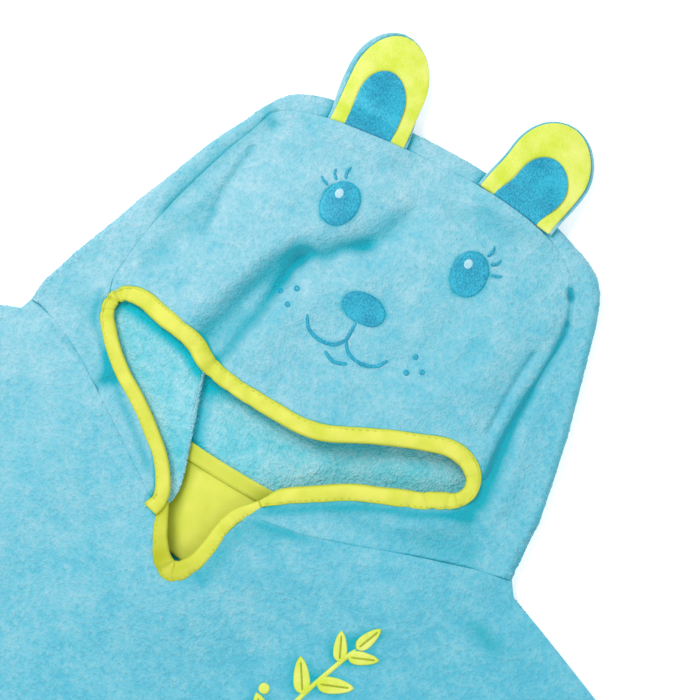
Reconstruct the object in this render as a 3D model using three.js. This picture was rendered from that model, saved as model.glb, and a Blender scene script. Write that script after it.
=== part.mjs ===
// A child's hooded bath poncho of terry towelling, laid out flat with its face up.
// Millimetres, +Z up. The origin is on the underside, midway between the two hood corners;
// +Y runs up to the top of the hood and -Y down to the hem.
import * as THREE from "three";

// Driving dimensions
const TERRY = 3;            // thickness of one layer of towelling with its pile
const JERSEY = 1.2;         // thickness of the smooth lime cloth
const GAP = 0.3;            // left between pieces that are sewn together or lie on each other
const FOLD_RADIUS = 5;      // outer radius of the hood's back where it folds over to the front
const HOOD_RISE = 5;        // how far the top layer of the hood stands above its folded edge
const HOOD_RISE_REACH = 60; // distance from the folded edge over which it does so
const BROW_RISE = 4;        // extra height at the middle of the brow, over the open face
const BROW = { y: 24, reachX: 80, reachY: 36 };
const FOLD_TURN_SHARE = 0.42; // share of the half turn by which the hood's fold has changed layers
const FOLD_RISE_SHARE = 0.6;  // share of the upper layer over which it comes up to its height
const BELOW_RUN = [1, 0.4];   // places of a section's points on the lower layer
const FOLD_START = 14;      // distance from the folded edge over which the folds grow
const NECK_REACH = 75;      // distance below the neck seam over which the body front comes down
const BINDING_THICKNESS = 5;
const BODY_HALF_WIDTH = 320;
const HEM_Y = -600;
const SHOULDER_TIP_Y = -66;
const LEFT_SHOULDER = { x: -173, y: -3 };  // inner ends of the shoulder seams, beside the hood
const RIGHT_SHOULDER = { x: 171, y: -6 };
const SHOULDER_CURVE = 1.05;
const SHOULDER_STEPS = 7;
const RAISED_HALF_WIDTH = 162; // the body front lies high under the hood as far out as this
const EDGE_REACH = 26;      // distance over which the front comes down to the back at its edges
const HEM_ROUNDING = 22;    // rise of the hem at its corners
const HEM_ROUNDING_STEPS = 20; // the rounded part of the hem is one in this many of its width
const BODY_ROW_CURVE = 1.7; // how much closer the rows of a panel get towards the neck
const BACK_NECK_Y = -28;    // middle of the back neck seam
const BACK_NECK_CURVE = 2.2;
const SEAM_SHARE = 0.75;    // thickness along a seam or binding, as a share of the cloth's
const TAPE_WIDTH = 10;
const TAPE_HALF_LENGTH = 120;
const FACING_HALF_WIDTH = 92;
const FACING_DEPTH = 58;
const EAR_WALL = 2.6;
const EAR_ROUND_FROM = 0.5; // share of an ear's length at which its round end starts
const EAR_BACK = { width: 1.07, length: 1.01 };
const EAR_FRONT = { width: 1, length: 0.99 };
const EAR_MIDDLE = { width: 0.63, length: 0.63, shift: 1 };

// Middle of the lime binding round the face opening, from the left side of the neck,
// round the left corner, along the brow, round the right corner and back to the neck.
const OPENING_BINDING = [
  { x: -44, y: -66, width: 9.4 },
  { x: -44.5, y: -54, width: 9 },
  { x: -53, y: -41, width: 9 },
  { x: -66, y: -29, width: 9 },
  { x: -82, y: -17, width: 9 },
  { x: -99, y: -6.5, width: 9 },
  { x: -112, y: 4, width: 9 },
  { x: -121, y: 13.5, width: 9 },
  { x: -125, y: 18.5, width: 8.5 },
  { x: -127.2, y: 24, width: 8.5 },
  { x: -127, y: 29.5, width: 8.5 },
  { x: -124.2, y: 34.5, width: 9 },
  { x: -118, y: 38, width: 10.5 },
  { x: -109, y: 38.5, width: 11 },
  { x: -97, y: 36, width: 11.5 },
  { x: -84, y: 34, width: 11 },
  { x: -71, y: 31, width: 11.5 },
  { x: -61, y: 25.5, width: 11.5 },
  { x: -48, y: 22, width: 10.5 },
  { x: -30, y: 20.5, width: 10.5 },
  { x: -10, y: 20, width: 10.5 },
  { x: 10, y: 20.5, width: 10.5 },
  { x: 24, y: 24, width: 10.5 },
  { x: 38, y: 31, width: 10 },
  { x: 56, y: 39.5, width: 10 },
  { x: 75, y: 47.5, width: 10 },
  { x: 92, y: 53, width: 11 },
  { x: 103, y: 52, width: 11 },
  { x: 109.5, y: 48.8, width: 10.5 },
  { x: 114, y: 43.8, width: 9.5 },
  { x: 115.6, y: 37.5, width: 9 },
  { x: 114, y: 31.3, width: 9 },
  { x: 110, y: 27, width: 9.8 },
  { x: 102, y: 22.4, width: 11 },
  { x: 90, y: 16, width: 11 },
  { x: 72, y: 8.5, width: 10.5 },
  { x: 54, y: 0.5, width: 10.5 },
  { x: 37, y: -10.5, width: 10.5 },
  { x: 24, y: -19, width: 10 },
  { x: 12, y: -28, width: 10 },
];
const LEFT_CORNER_ROW = 10;  // the last row that borders the left cheek
const RIGHT_CORNER_ROW = 29; // the first row that borders the right cheek
const TAB_CORNER = { x: -49.8, y: -69.5 }; // body cloth just below the binding's left end

// Middle of the lime binding round the V of the neck, from its left top to its right top.
const V_BINDING = [
  { x: -36, y: -71, width: 8.5 },
  { x: -32, y: -79, width: 9 },
  { x: -26, y: -88, width: 10.5 },
  { x: -20, y: -93, width: 12.5 },
  { x: -14, y: -93.5, width: 13.5 },
  { x: -8.5, y: -87.5, width: 11 },
  { x: -5, y: -79, width: 9.5 },
  { x: -3.2, y: -70, width: 9.5 },
  { x: -2.4, y: -61, width: 9 },
  { x: -1.2, y: -53, width: 9 },
  { x: 3.2, y: -44.5, width: 9 },
];

// Sections round the hood from its left corner over the top to its right corner: the folded
// outline of the back panel, and the seam where that panel meets the face panel.
const LEFT_CHEEK_OUTLINE = [
  { x: -170, y: 4 },
  { x: -169, y: 18 },
  { x: -164, y: 34 },
  { x: -160.5, y: 45 },
];
const RIGHT_CHEEK_OUTLINE = [
  { x: 161.5, y: 38 },
  { x: 162.5, y: 22 },
  { x: 164, y: 3 },
];
const FACE_SEAM = [
  { outlineX: -157.5, outlineY: 53, seamX: -133, seamY: 41 },
  { outlineX: -151, outlineY: 70, seamX: -131, seamY: 66 },
  { outlineX: -143, outlineY: 92, seamX: -127, seamY: 90 },
  { outlineX: -134, outlineY: 114, seamX: -121.5, seamY: 111 },
  { outlineX: -124, outlineY: 140, seamX: -113, seamY: 139 },
  { outlineX: -113, outlineY: 162, seamX: -105, seamY: 160 },
  { outlineX: -104.5, outlineY: 179, seamX: -101, seamY: 172.5 },
  { outlineX: -94, outlineY: 191, seamX: -91, seamY: 180.5 },
  { outlineX: -74, outlineY: 199, seamX: -70, seamY: 187 },
  { outlineX: -45, outlineY: 204, seamX: -44, seamY: 191 },
  { outlineX: -15, outlineY: 206.5, seamX: -18, seamY: 194.5 },
  { outlineX: 15, outlineY: 207.5, seamX: 12, seamY: 197 },
  { outlineX: 45, outlineY: 206, seamX: 42, seamY: 196.5 },
  { outlineX: 75, outlineY: 202, seamX: 68, seamY: 193.5 },
  { outlineX: 98, outlineY: 195, seamX: 89, seamY: 187.5 },
  { outlineX: 115, outlineY: 188, seamX: 101, seamY: 180 },
  { outlineX: 124, outlineY: 178.5, seamX: 109, seamY: 171 },
  { outlineX: 130.5, outlineY: 165, seamX: 114.5, seamY: 160 },
  { outlineX: 137, outlineY: 143, seamX: 118.5, seamY: 143 },
  { outlineX: 144, outlineY: 118, seamX: 117.5, seamY: 119 },
  { outlineX: 150.5, outlineY: 94, seamX: 118, seamY: 94 },
  { outlineX: 156, outlineY: 69, seamX: 119.5, seamY: 70 },
  { outlineX: 160.5, outlineY: 46, seamX: 120, seamY: 49 },
];
const LEFT_DIMPLE_ROW = 6;
const RIGHT_DIMPLE_ROW = 16;

// Left half and right half of the front neck seam: inner end, and how far it bows from straight.
const FRONT_NECK = {
  left: { innerX: -50, innerY: -64, bow: 8, shift: 0.6 },
  right: { innerX: 9.5, innerY: -44.5, bow: -4, shift: 2.5 },
};

// Edge of the tuck in the hood's back that shows through the face opening, and its hidden side.
const TUCK_EDGE = [
  { innerX: -36, innerY: -51, outerX: -60, outerY: -47 },
  { innerX: -39, innerY: -39, outerX: -76, outerY: -35 },
  { innerX: -45, innerY: -21, outerX: -96, outerY: -19 },
  { innerX: -50, innerY: -6, outerX: -116, outerY: -2 },
  { innerX: -54, innerY: 5, outerX: -124, outerY: 16 },
  { innerX: -58, innerY: 18, outerX: -122, outerY: 34 },
  { innerX: -64, innerY: 40, outerX: -112, outerY: 56 },
  { innerX: -74, innerY: 62, outerX: -100, outerY: 76 },
];
const TUCK_TOP = 9;          // height of the tuck's upper face
const TUCK_OVER_TAPE = 6.4;  // its underside where it crosses the neck tape
const TUCK_OFF_TAPE = [8, 14]; // distances above the seam between which it comes down again
const TUCK_CURVE = 1.6;      // how much closer its columns get towards the folded edge

// Folds in the face panel and the body: points along each, width and height (troughs are below 0).
const HOOD_FOLDS = [
  {
    width: 11, height: -4,
    points: [[-64, 40], [-58, 68], [-47, 88], [-38, 107], [-18, 125], [-4, 142], [4, 162]],
  },
  { width: 13, height: 2.6, points: [[-82, 48], [-76, 72], [-66, 96], [-52, 118], [-32, 138]] },
  { width: 12, height: 2.2, points: [[-32, 44], [-30, 70], [-20, 92], [-2, 112]] },
  { width: 7, height: -1.6, points: [[-101, 150], [-103, 120], [-101, 91]] },
  { width: 8, height: -1.8, points: [[108, 131], [105, 100], [107, 70]] },
  { width: 14, height: 2, points: [[60, 66], [84, 96], [90, 128]] },
  { width: 9, height: -1.5, points: [[30, 60], [52, 96], [58, 130]] },
  { width: 10, height: 1.8, points: [[140, 40], [136, 72], [131, 104]] },
];
const BODY_FOLDS = [
  { width: 34, height: 2.4, points: [[120, -60], [150, -150], [160, -260]] },
  { width: 30, height: 2, points: [[-110, -90], [-140, -180], [-150, -300]] },
  { width: 36, height: 2.6, points: [[20, -220], [30, -340], [10, -480]] },
  { width: 32, height: 1.8, points: [[-240, -130], [-250, -250], [-235, -400]] },
  { width: 32, height: 2.2, points: [[245, -150], [238, -300], [250, -450]] },
  { width: 26, height: 1.6, points: [[-70, -420], [-84, -520], [-80, -580]] },
];

// Ears: the middle and half width of the sewn end, of the widest part and the place of the tip.
const EARS = {
  left: {
    baseX: -45, baseY: 191, baseTurn: 0.14,
    midX: -48, tipX: -50.5, tipY: 254.5, half: 23.5, border: -4,
  },
  right: {
    baseX: 54.5, baseY: 196, baseTurn: -0.1,
    midX: 60, tipX: 60, tipY: 257, half: 25, border: 1,
  },
};
const EAR_LIFT = [
  { y: 190, z: 10.6 },
  { y: 203, z: 10.6 },
  { y: 209, z: 8.8 },
  { y: 216, z: 6 },
  { y: 226, z: 3.2 },
  { y: 240, z: 1.2 },
  { y: 262, z: 0.5 },
];

const COLOURS = {
  terry: { color: 0x86cfe2, roughness: 0.95 },
  lime: { color: 0xdbe654, roughness: 0.7 },
  satin: { color: 0xdcef4c, roughness: 0.45 },
  teal: { color: 0x17a7ca, roughness: 0.45 },
};

// Small helpers for curves and heights

function smooth(edge0, edge1, value) {
  const t = Math.min(1, Math.max(0, (value - edge0) / (edge1 - edge0)));
  return t * t * (3 - 2 * t);
}

function mix(a, b, t) {
  return a + (b - a) * t;
}

function curveThrough(points) {
  return new THREE.SplineCurve(points.map(([x, y]) => new THREE.Vector2(x, y)));
}

/** Straight stretches through points, an equal share of the run for each stretch. */
function chainThrough(points) {
  return (t) => {
    const place = t * (points.length - 1);
    const i = Math.min(points.length - 2, Math.floor(place));
    const [from, to] = [points[i], points[i + 1]];
    return { x: mix(from.x, to.x, place - i), y: mix(from.y, to.y, place - i) };
  };
}

/** The same chain moved sideways, to the left of its run when the distance is above 0. */
function movedAside(points, distance) {
  return points.map(({ x, y }, i) => {
    const before = points[Math.max(0, i - 1)];
    const after = points[Math.min(points.length - 1, i + 1)];
    const run = Math.hypot(after.x - before.x, after.y - before.y);
    return { x: x - ((after.y - before.y) / run) * distance, y: y + ((after.x - before.x) / run) * distance };
  });
}

/** Distance from a point to a chain of straight stretches. */
function distanceTo(points, x, y) {
  let nearest = Infinity;
  for (let i = 0; i + 1 < points.length; i += 1) {
    const [ax, ay] = points[i];
    const [bx, by] = points[i + 1];
    const along = ((x - ax) * (bx - ax) + (y - ay) * (by - ay)) / ((bx - ax) ** 2 + (by - ay) ** 2);
    const t = Math.min(1, Math.max(0, along));
    nearest = Math.min(nearest, Math.hypot(x - mix(ax, bx, t), y - mix(ay, by, t)));
  }
  return nearest;
}

function foldLift(folds, x, y) {
  let lift = 0;
  for (const fold of folds) {
    lift += fold.height * Math.exp(-((distanceTo(fold.points, x, y) / fold.width) ** 2));
  }
  return lift;
}

/** A flat patch between four edges that meet at their ends; u runs along the bottom, v up the sides. */
function patchBetween(bottom, top, left, right) {
  return (u, v) => {
    const b = bottom(u);
    const t = top(u);
    const l = left(v);
    const r = right(v);
    const corner = (axis) =>
      (1 - u) * (1 - v) * bottom(0)[axis] + u * (1 - v) * bottom(1)[axis] +
      (1 - u) * v * top(0)[axis] + u * v * top(1)[axis];
    return {
      x: mix(b.x, t.x, v) + mix(l.x, r.x, u) - corner("x"),
      y: mix(b.y, t.y, v) + mix(l.y, r.y, u) - corner("y"),
    };
  };
}

/** Joins points with equal places and keeps only triangles that have an area. */
function closedGeometry(points, triangles) {
  const keys = new Map();
  const places = [];
  const merged = points.map((point) => {
    const key = point.map((value) => Math.round(value * 1000)).join(",");
    if (!keys.has(key)) {
      keys.set(key, places.length / 3);
      places.push(...point);
    }
    return keys.get(key);
  });
  const index = [];
  for (const triangle of triangles) {
    const [a, b, c] = triangle.map((corner) => merged[corner]);
    if (a !== b && b !== c && c !== a) {
      index.push(a, b, c);
    }
  }
  const geometry = new THREE.BufferGeometry();
  geometry.setAttribute("position", new THREE.Float32BufferAttribute(places, 3));
  geometry.setIndex(index);
  geometry.computeVertexNormals();
  return geometry;
}

/** A layer of cloth: its plan as a grid, its underside as a height and its thickness, closed by a rim. */
function layer(columns, rows, plan, under, wall) {
  const points = [];
  const at = (side, i, j) => side * (columns + 1) * (rows + 1) + j * (columns + 1) + i;
  for (const side of [0, 1]) {
    for (let j = 0; j <= rows; j += 1) {
      for (let i = 0; i <= columns; i += 1) {
        const { x, y } = plan(i / columns, j / rows);
        points.push([x, y, under(x, y) + side * wall(i / columns, j / rows)]);
      }
    }
  }
  const triangles = [];
  const quad = (a, b, c, d) => triangles.push([a, b, c], [a, c, d]);
  for (let j = 0; j < rows; j += 1) {
    for (let i = 0; i < columns; i += 1) {
      quad(at(1, i, j), at(1, i + 1, j), at(1, i + 1, j + 1), at(1, i, j + 1));
      quad(at(0, i, j), at(0, i, j + 1), at(0, i + 1, j + 1), at(0, i + 1, j));
    }
  }
  for (let i = 0; i < columns; i += 1) {
    quad(at(0, i, 0), at(0, i + 1, 0), at(1, i + 1, 0), at(1, i, 0));
    quad(at(1, i, rows), at(1, i + 1, rows), at(0, i + 1, rows), at(0, i, rows));
  }
  for (let j = 0; j < rows; j += 1) {
    quad(at(1, 0, j), at(1, 0, j + 1), at(0, 0, j + 1), at(0, 0, j));
    quad(at(0, columns, j), at(0, columns, j + 1), at(1, columns, j + 1), at(1, columns, j));
  }
  return closedGeometry(points, triangles);
}

/** Thickness that eases off at the rim of a layer. */
function easedWall(full, rimShare, columns, rows) {
  return (u, v) => {
    const inside = Math.min(u * columns, (1 - u) * columns, v * rows, (1 - v) * rows);
    return full * (inside < 0.5 ? rimShare : 1);
  };
}

function pieceOf(name, finish, geometry) {
  const material = new THREE.MeshStandardMaterial({ ...COLOURS[finish], metalness: 0 });
  const mesh = new THREE.Mesh(geometry, material);
  mesh.name = name;
  return mesh;
}

// Hood: the shape of its outline, its seams and the height of its top layer

const openingPath = curveThrough(OPENING_BINDING.map(({ x, y }) => [x, y]));
const openingWidths = OPENING_BINDING.map(({ width }) => width);
const vPath = curveThrough(V_BINDING.map(({ x, y }) => [x, y]));
const vWidths = V_BINDING.map(({ width }) => width);

/** A point beside a binding's middle; side is +1 to the left of its run. */
function besideBinding(path, t, side) {
  const point = path.getPoint(t);
  const run = path.getTangent(t);
  return { x: point.x - run.y * side, y: point.y + run.x * side };
}

/** The cloth edge that the opening's binding covers, at one row of its table. */
function boundEdge(row) {
  const t = row / (OPENING_BINDING.length - 1);
  return besideBinding(openingPath, t, openingWidths[row] / 2 + GAP);
}

const hoodOutline = [
  ...LEFT_CHEEK_OUTLINE.map(({ x, y }) => [x, y]),
  ...FACE_SEAM.map(({ outlineX, outlineY }) => [outlineX, outlineY]),
  ...RIGHT_CHEEK_OUTLINE.map(({ x, y }) => [x, y]),
];

/** Height of the underside of the hood's top layer. */
function hoodLift(x, y) {
  const dome = smooth(0, HOOD_RISE_REACH, distanceTo(hoodOutline, x, y) - FOLD_RADIUS);
  const brow = Math.exp(-((x / BROW.reachX) ** 2) - ((y - BROW.y) / BROW.reachY) ** 2);
  const folds = foldLift(HOOD_FOLDS, x, y) * smooth(0, FOLD_START, dome * 40);
  return 2 * FOLD_RADIUS - TERRY + HOOD_RISE * dome + BROW_RISE * brow + folds;
}

function backNeckY(x) {
  const corner = x < 0 ? LEFT_CHEEK_OUTLINE[0] : RIGHT_CHEEK_OUTLINE.at(-1);
  return mix(BACK_NECK_Y, corner.y, Math.min(1, x / corner.x) ** BACK_NECK_CURVE);
}

/** The front neck seam on one side; t runs from the hood's corner to the neck opening. */
function frontNeck(side, t) {
  const corner = side === "left" ? LEFT_CHEEK_OUTLINE[0] : RIGHT_CHEEK_OUTLINE.at(-1);
  const { innerX, innerY, bow, shift } = FRONT_NECK[side];
  const bend = bow * Math.sin(Math.PI * t ** shift);
  return { x: mix(corner.x, innerX, t), y: mix(corner.y, innerY, t) + bend };
}

// Sections of the hood's back: outline, inner edge and the place on the spine where halves meet

const SPINE_STEPS = 16;
const SPINE_TOP = 113;
const OVER_RUN = [0.12, 0.32, 0.55, 0.78, 1]; // places across the top layer, as shares of its width

function hoodStations() {
  const leftLow = curveThrough(LEFT_CHEEK_OUTLINE.map(({ x, y }) => [x, y]));
  const rightLow = curveThrough(RIGHT_CHEEK_OUTLINE.map(({ x, y }) => [x, y]));
  const lastRow = OPENING_BINDING.length - 1;
  const stations = [];
  for (let row = 0; row <= LEFT_CORNER_ROW; row += 1) {
    const inner = row === 0 ? frontNeck("left", 1) : boundEdge(row);
    stations.push({ side: "left", outline: leftLow.getPointAt(row / LEFT_CORNER_ROW), inner });
  }
  for (const { outlineX, outlineY, seamX, seamY } of FACE_SEAM) {
    const side = outlineX < 0 ? "left" : "right";
    stations.push({ side, outline: { x: outlineX, y: outlineY }, inner: { x: seamX, y: seamY } });
  }
  for (let row = RIGHT_CORNER_ROW; row <= lastRow + 1; row += 1) {
    const inner = row > lastRow ? frontNeck("right", 1) : boundEdge(row);
    const t = (row - RIGHT_CORNER_ROW) / (lastRow + 1 - RIGHT_CORNER_ROW);
    stations.push({ side: "right", outline: rightLow.getPointAt(t), inner });
  }
  stations.forEach((station, i) => {
    const fromNeck = Math.min(i, stations.length - 1 - i, SPINE_STEPS);
    station.spine = { x: 0, y: mix(backNeckY(0) + GAP, SPINE_TOP, fromNeck / SPINE_STEPS) };
    station.neckShare = 1 - smooth(0, 9, fromNeck);
  });
  return stations;
}

/** One C-shaped section of the hood's back: flat below, round the fold, and over to its inner edge. */
function hoodSection({ side, outline, inner, spine, neckShare }) {
  const corner = frontNeck(side, 0);
  const neckEnd = FRONT_NECK[side];
  const reach = Math.hypot(inner.x - outline.x, inner.y - outline.y);
  const topStart = FOLD_RADIUS / reach;
  const over = (t) => {
    const seam = frontNeck(side, t);
    const straightY = mix(corner.y, neckEnd.innerY, t);
    const drop = (seam.y - straightY) * neckShare;
    return { x: mix(outline.x, inner.x, t), y: mix(outline.y, inner.y, t) + drop };
  };
  const below = (t) => {
    const x = mix(outline.x, spine.x, t);
    const straightY = mix(corner.y, backNeckY(0) + GAP, t);
    const bend = (backNeckY(mix(corner.x, 0, t)) + GAP - straightY) * neckShare;
    return { x, y: mix(outline.y, spine.y, t) + bend };
  };
  const belowStart = FOLD_RADIUS / Math.hypot(spine.x - outline.x, spine.y - outline.y);
  const section = [];
  const arc = [0, 1, 2, 3, 4].map((step) => (step / 4) * Math.PI);
  const add = (place, z) => section.push([place.x, place.y, z]);
  const turn = (radius, angle) => {
    const inward = (FOLD_RADIUS - radius * Math.sin(angle)) / FOLD_RADIUS;
    const share = smooth(0, FOLD_TURN_SHARE, angle / Math.PI);
    const low = below(belowStart * inward);
    const high = over(topStart * inward);
    const point = { x: mix(low.x, high.x, share), y: mix(low.y, high.y, share) };
    add(point, FOLD_RADIUS - radius * Math.cos(angle));
  };
  const height = (t, place) => {
    const eased = smooth(0, FOLD_RISE_SHARE, (t - topStart) / (1 - topStart));
    return mix(2 * FOLD_RADIUS - TERRY, hoodLift(place.x, place.y), eased);
  };
  BELOW_RUN.forEach((t) => add(below(mix(belowStart, 1, t)), 0));
  arc.forEach((angle) => turn(FOLD_RADIUS, angle));
  OVER_RUN.forEach((share) => {
    const t = mix(topStart, 1, share);
    const wall = share === 1 ? TERRY * SEAM_SHARE : TERRY;
    add(over(t), height(t, over(t)) + wall);
  });
  [...OVER_RUN].reverse().forEach((share) => {
    const t = mix(topStart, 1, share);
    add(over(t), height(t, over(t)));
  });
  [...arc].reverse().forEach((angle) => turn(FOLD_RADIUS - TERRY, angle));
  [...BELOW_RUN].reverse().forEach((t) => add(below(mix(belowStart, 1, t)), TERRY));
  return section;
}

function hoodBack() {
  const sections = hoodStations().map(hoodSection);
  const count = sections[0].length;
  const points = sections.flat();
  const triangles = [];
  for (let s = 0; s + 1 < sections.length; s += 1) {
    for (let i = 0; i + 1 < count; i += 1) {
      const a = s * count + i;
      const b = a + count;
      triangles.push([a, a + 1, b + 1], [a, b + 1, b]);
    }
  }
  const last = (sections.length - 1) * count;
  for (let i = 0; i + 1 < count / 2; i += 1) {
    const j = count - 1 - i;
    triangles.push([i, j, i + 1], [j, j - 1, i + 1]);
    triangles.push([last + i, last + i + 1, last + j], [last + j, last + i + 1, last + j - 1]);
  }
  return closedGeometry(points, triangles);
}

/** The face panel, inside the seam and above the binding of the brow. */
function hoodFront() {
  const seam = movedAside(FACE_SEAM.map(({ seamX, seamY }) => ({ x: seamX, y: seamY })), -GAP);
  const left = seam.slice(0, LEFT_DIMPLE_ROW + 1);
  const top = seam.slice(LEFT_DIMPLE_ROW, RIGHT_DIMPLE_ROW + 1);
  const right = seam.slice(RIGHT_DIMPLE_ROW).reverse();
  const brow = [];
  for (let row = LEFT_CORNER_ROW + 1; row < RIGHT_CORNER_ROW; row += 1) {
    brow.push(boundEdge(row));
  }
  const bottom = [left[0], ...brow, right[0]];
  const columns = 2 * (bottom.length - 1);
  const rows = 16;
  const plan = patchBetween(...[bottom, top, left, right].map(chainThrough));
  return layer(columns, rows, plan, hoodLift, easedWall(TERRY, SEAM_SHARE, columns, rows));
}

/** A tuck in the hood's back, seen through the opening, with its folded edge rounded. */
function hoodTuck() {
  const columns = 8;
  const rows = 14;
  const inner = curveThrough(TUCK_EDGE.map(({ innerX, innerY }) => [innerX, innerY]));
  const outer = curveThrough(TUCK_EDGE.map(({ outerX, outerY }) => [outerX, outerY]));
  const plan = (u, v) => {
    const from = outer.getPointAt(v);
    const to = inner.getPointAt(v);
    const across = 1 - (1 - u) ** TUCK_CURVE;
    return { x: mix(from.x, to.x, across), y: mix(from.y, to.y, across) };
  };
  const [onTape, offTape] = TUCK_OFF_TAPE;
  const under = (x, y) => mix(TERRY + GAP, TUCK_OVER_TAPE, smooth(offTape, onTape, y - backNeckY(x)));
  const full = (u, v) => {
    const { x, y } = plan(u, v);
    const rounding = u > 0.999 ? 0.45 : u > 0.8 ? 0.85 : 1;
    return (TUCK_TOP - under(x, y)) * rounding;
  };
  return layer(columns, rows, plan, under, full);
}

// Body: front and back, laid on each other and joined at the shoulders

/** The body front's half of the neck seam, from the hood's corner, at the hood's own steps. */
function neckHalf(side) {
  const corner = frontNeck(side, 0);
  const end = frontNeck(side, 1);
  const start = FOLD_RADIUS / Math.hypot(end.x - corner.x, end.y - corner.y);
  return [0, start, ...OVER_RUN.map((share) => mix(start, 1, share))].map((t) => frontNeck(side, t));
}

const neckEdge = [
  ...movedAside(neckHalf("left"), -GAP),
  TAB_CORNER,
  ...V_BINDING.map(({ width }, i) => besideBinding(vPath, i / (V_BINDING.length - 1), -(width / 2 + GAP))),
  ...movedAside(neckHalf("right").reverse(), -GAP),
];
const neckChain = neckEdge.map(({ x, y }) => [x, y]);

function shoulderPoint(side, t) {
  const sign = side === "left" ? -1 : 1;
  const start = side === "left" ? LEFT_SHOULDER : RIGHT_SHOULDER;
  const tipX = sign * BODY_HALF_WIDTH;
  return { x: mix(start.x, tipX, t), y: mix(start.y, SHOULDER_TIP_Y, t ** SHOULDER_CURVE) };
}

function bodyLift(x, y) {
  const inward = RAISED_HALF_WIDTH - Math.abs(x);
  const level = 2 * FOLD_RADIUS - TERRY + HOOD_RISE * smooth(0, HOOD_RISE_REACH, inward);
  const near = smooth(NECK_REACH, 0, distanceTo(neckChain, x, y));
  const shoulder = Math.min(
    distanceTo([[LEFT_SHOULDER.x, LEFT_SHOULDER.y], [-BODY_HALF_WIDTH, SHOULDER_TIP_Y]], x, y),
    distanceTo([[RIGHT_SHOULDER.x, RIGHT_SHOULDER.y], [BODY_HALF_WIDTH, SHOULDER_TIP_Y]], x, y),
  );
  const edge = Math.min(shoulder, BODY_HALF_WIDTH - Math.abs(x), y - HEM_Y);
  const folds = Math.max(0, foldLift(BODY_FOLDS, x, y));
  return TERRY + GAP + ((level - TERRY - GAP) * near + folds) * smooth(0, EDGE_REACH, edge);
}

/** Rows of a body panel get closer towards the neck. */
function bodyPlan(top) {
  const span = top.length - 1;
  return (u, v) => {
    const place = u * span;
    const i = Math.min(span - 1, Math.floor(place));
    const share = place - i;
    const upper = { x: mix(top[i].x, top[i + 1].x, share), y: mix(top[i].y, top[i + 1].y, share) };
    const hemX = mix(-BODY_HALF_WIDTH, BODY_HALF_WIDTH, u);
    const fromCorner = Math.min(1, Math.min(u, 1 - u) * HEM_ROUNDING_STEPS);
    const rounded = HEM_Y + HEM_ROUNDING * (1 - fromCorner) ** 2;
    const rise = 1 - (1 - v) ** BODY_ROW_CURVE;
    const side = mix(hemX, upper.x, rise);
    return { x: side, y: mix(rounded, upper.y, rise) };
  };
}

function bodyFront() {
  const rows = 14;
  const top = [];
  for (let i = SHOULDER_STEPS; i >= 0; i -= 1) {
    top.push(shoulderPoint("left", i / SHOULDER_STEPS));
  }
  top.push(...neckEdge);
  for (let i = 0; i <= SHOULDER_STEPS; i += 1) {
    top.push(shoulderPoint("right", i / SHOULDER_STEPS));
  }
  const columns = top.length - 1;
  return layer(columns, rows, bodyPlan(top), bodyLift, easedWall(TERRY, SEAM_SHARE, columns, rows));
}

function bodyBack() {
  const rows = 8;
  const shoulderSteps = 5;
  const neckSteps = 6;
  const top = [];
  for (let i = shoulderSteps; i >= 0; i -= 1) {
    top.push(shoulderPoint("left", i / shoulderSteps));
  }
  for (let i = -neckSteps; i <= neckSteps; i += 1) {
    const corner = i < 0 ? LEFT_CHEEK_OUTLINE[0] : RIGHT_CHEEK_OUTLINE.at(-1);
    const x = (Math.abs(i) / neckSteps) * corner.x;
    top.push({ x, y: backNeckY(x) });
  }
  for (let i = 0; i <= shoulderSteps; i += 1) {
    top.push(shoulderPoint("right", i / shoulderSteps));
  }
  const columns = top.length - 1;
  return layer(columns, rows, bodyPlan(top), () => 0, () => TERRY);
}

// Lime pieces: bindings, tape and facing

/** A soft flat band of cloth swept along a binding's path. */
function band(path, widths, liftAt) {
  const corners = 10;
  const steps = widths.length - 1;
  const points = [];
  for (let s = 0; s <= steps; s += 1) {
    const t = s / steps;
    const half = widths[s] / 2;
    const middle = path.getPoint(t);
    const z = liftAt(middle.x, middle.y) + TERRY / 2;
    for (let k = 0; k < corners; k += 1) {
      const angle = (2 * Math.PI * k) / corners;
      const across = half * Math.sign(Math.cos(angle)) * Math.abs(Math.cos(angle)) ** 0.6;
      const up = (BINDING_THICKNESS / 2) * Math.sign(Math.sin(angle)) * Math.abs(Math.sin(angle)) ** 0.8;
      const { x, y } = besideBinding(path, t, across);
      points.push([x, y, z + up]);
    }
  }
  const triangles = [];
  for (let s = 0; s < steps; s += 1) {
    for (let k = 0; k < corners; k += 1) {
      const a = s * corners + k;
      const b = s * corners + ((k + 1) % corners);
      triangles.push([a, b + corners, a + corners], [a, b, b + corners]);
    }
  }
  for (let k = 1; k + 1 < corners; k += 1) {
    triangles.push([0, k + 1, k]);
    triangles.push([steps * corners, steps * corners + k, steps * corners + k + 1]);
  }
  return closedGeometry(points, triangles);
}

function neckTape() {
  const plan = (u, v) => {
    const x = mix(-TAPE_HALF_LENGTH, TAPE_HALF_LENGTH, u);
    return { x, y: backNeckY(x) + mix(-TAPE_WIDTH / 2, TAPE_WIDTH / 2, v) };
  };
  return layer(16, 1, plan, () => TERRY + JERSEY + 2 * GAP, () => JERSEY);
}

function neckFacing() {
  const plan = (u, v) => {
    const angle = Math.PI * (1 - u);
    const x = FACING_HALF_WIDTH * Math.cos(angle);
    const upper = backNeckY(x) - GAP;
    return { x, y: mix(upper - FACING_DEPTH * Math.sin(angle) - 1, upper, v) };
  };
  return layer(18, 1, plan, () => TERRY + GAP, () => JERSEY);
}

// Ears: a towelling back, a lime front and a darker middle stitched on it

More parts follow.
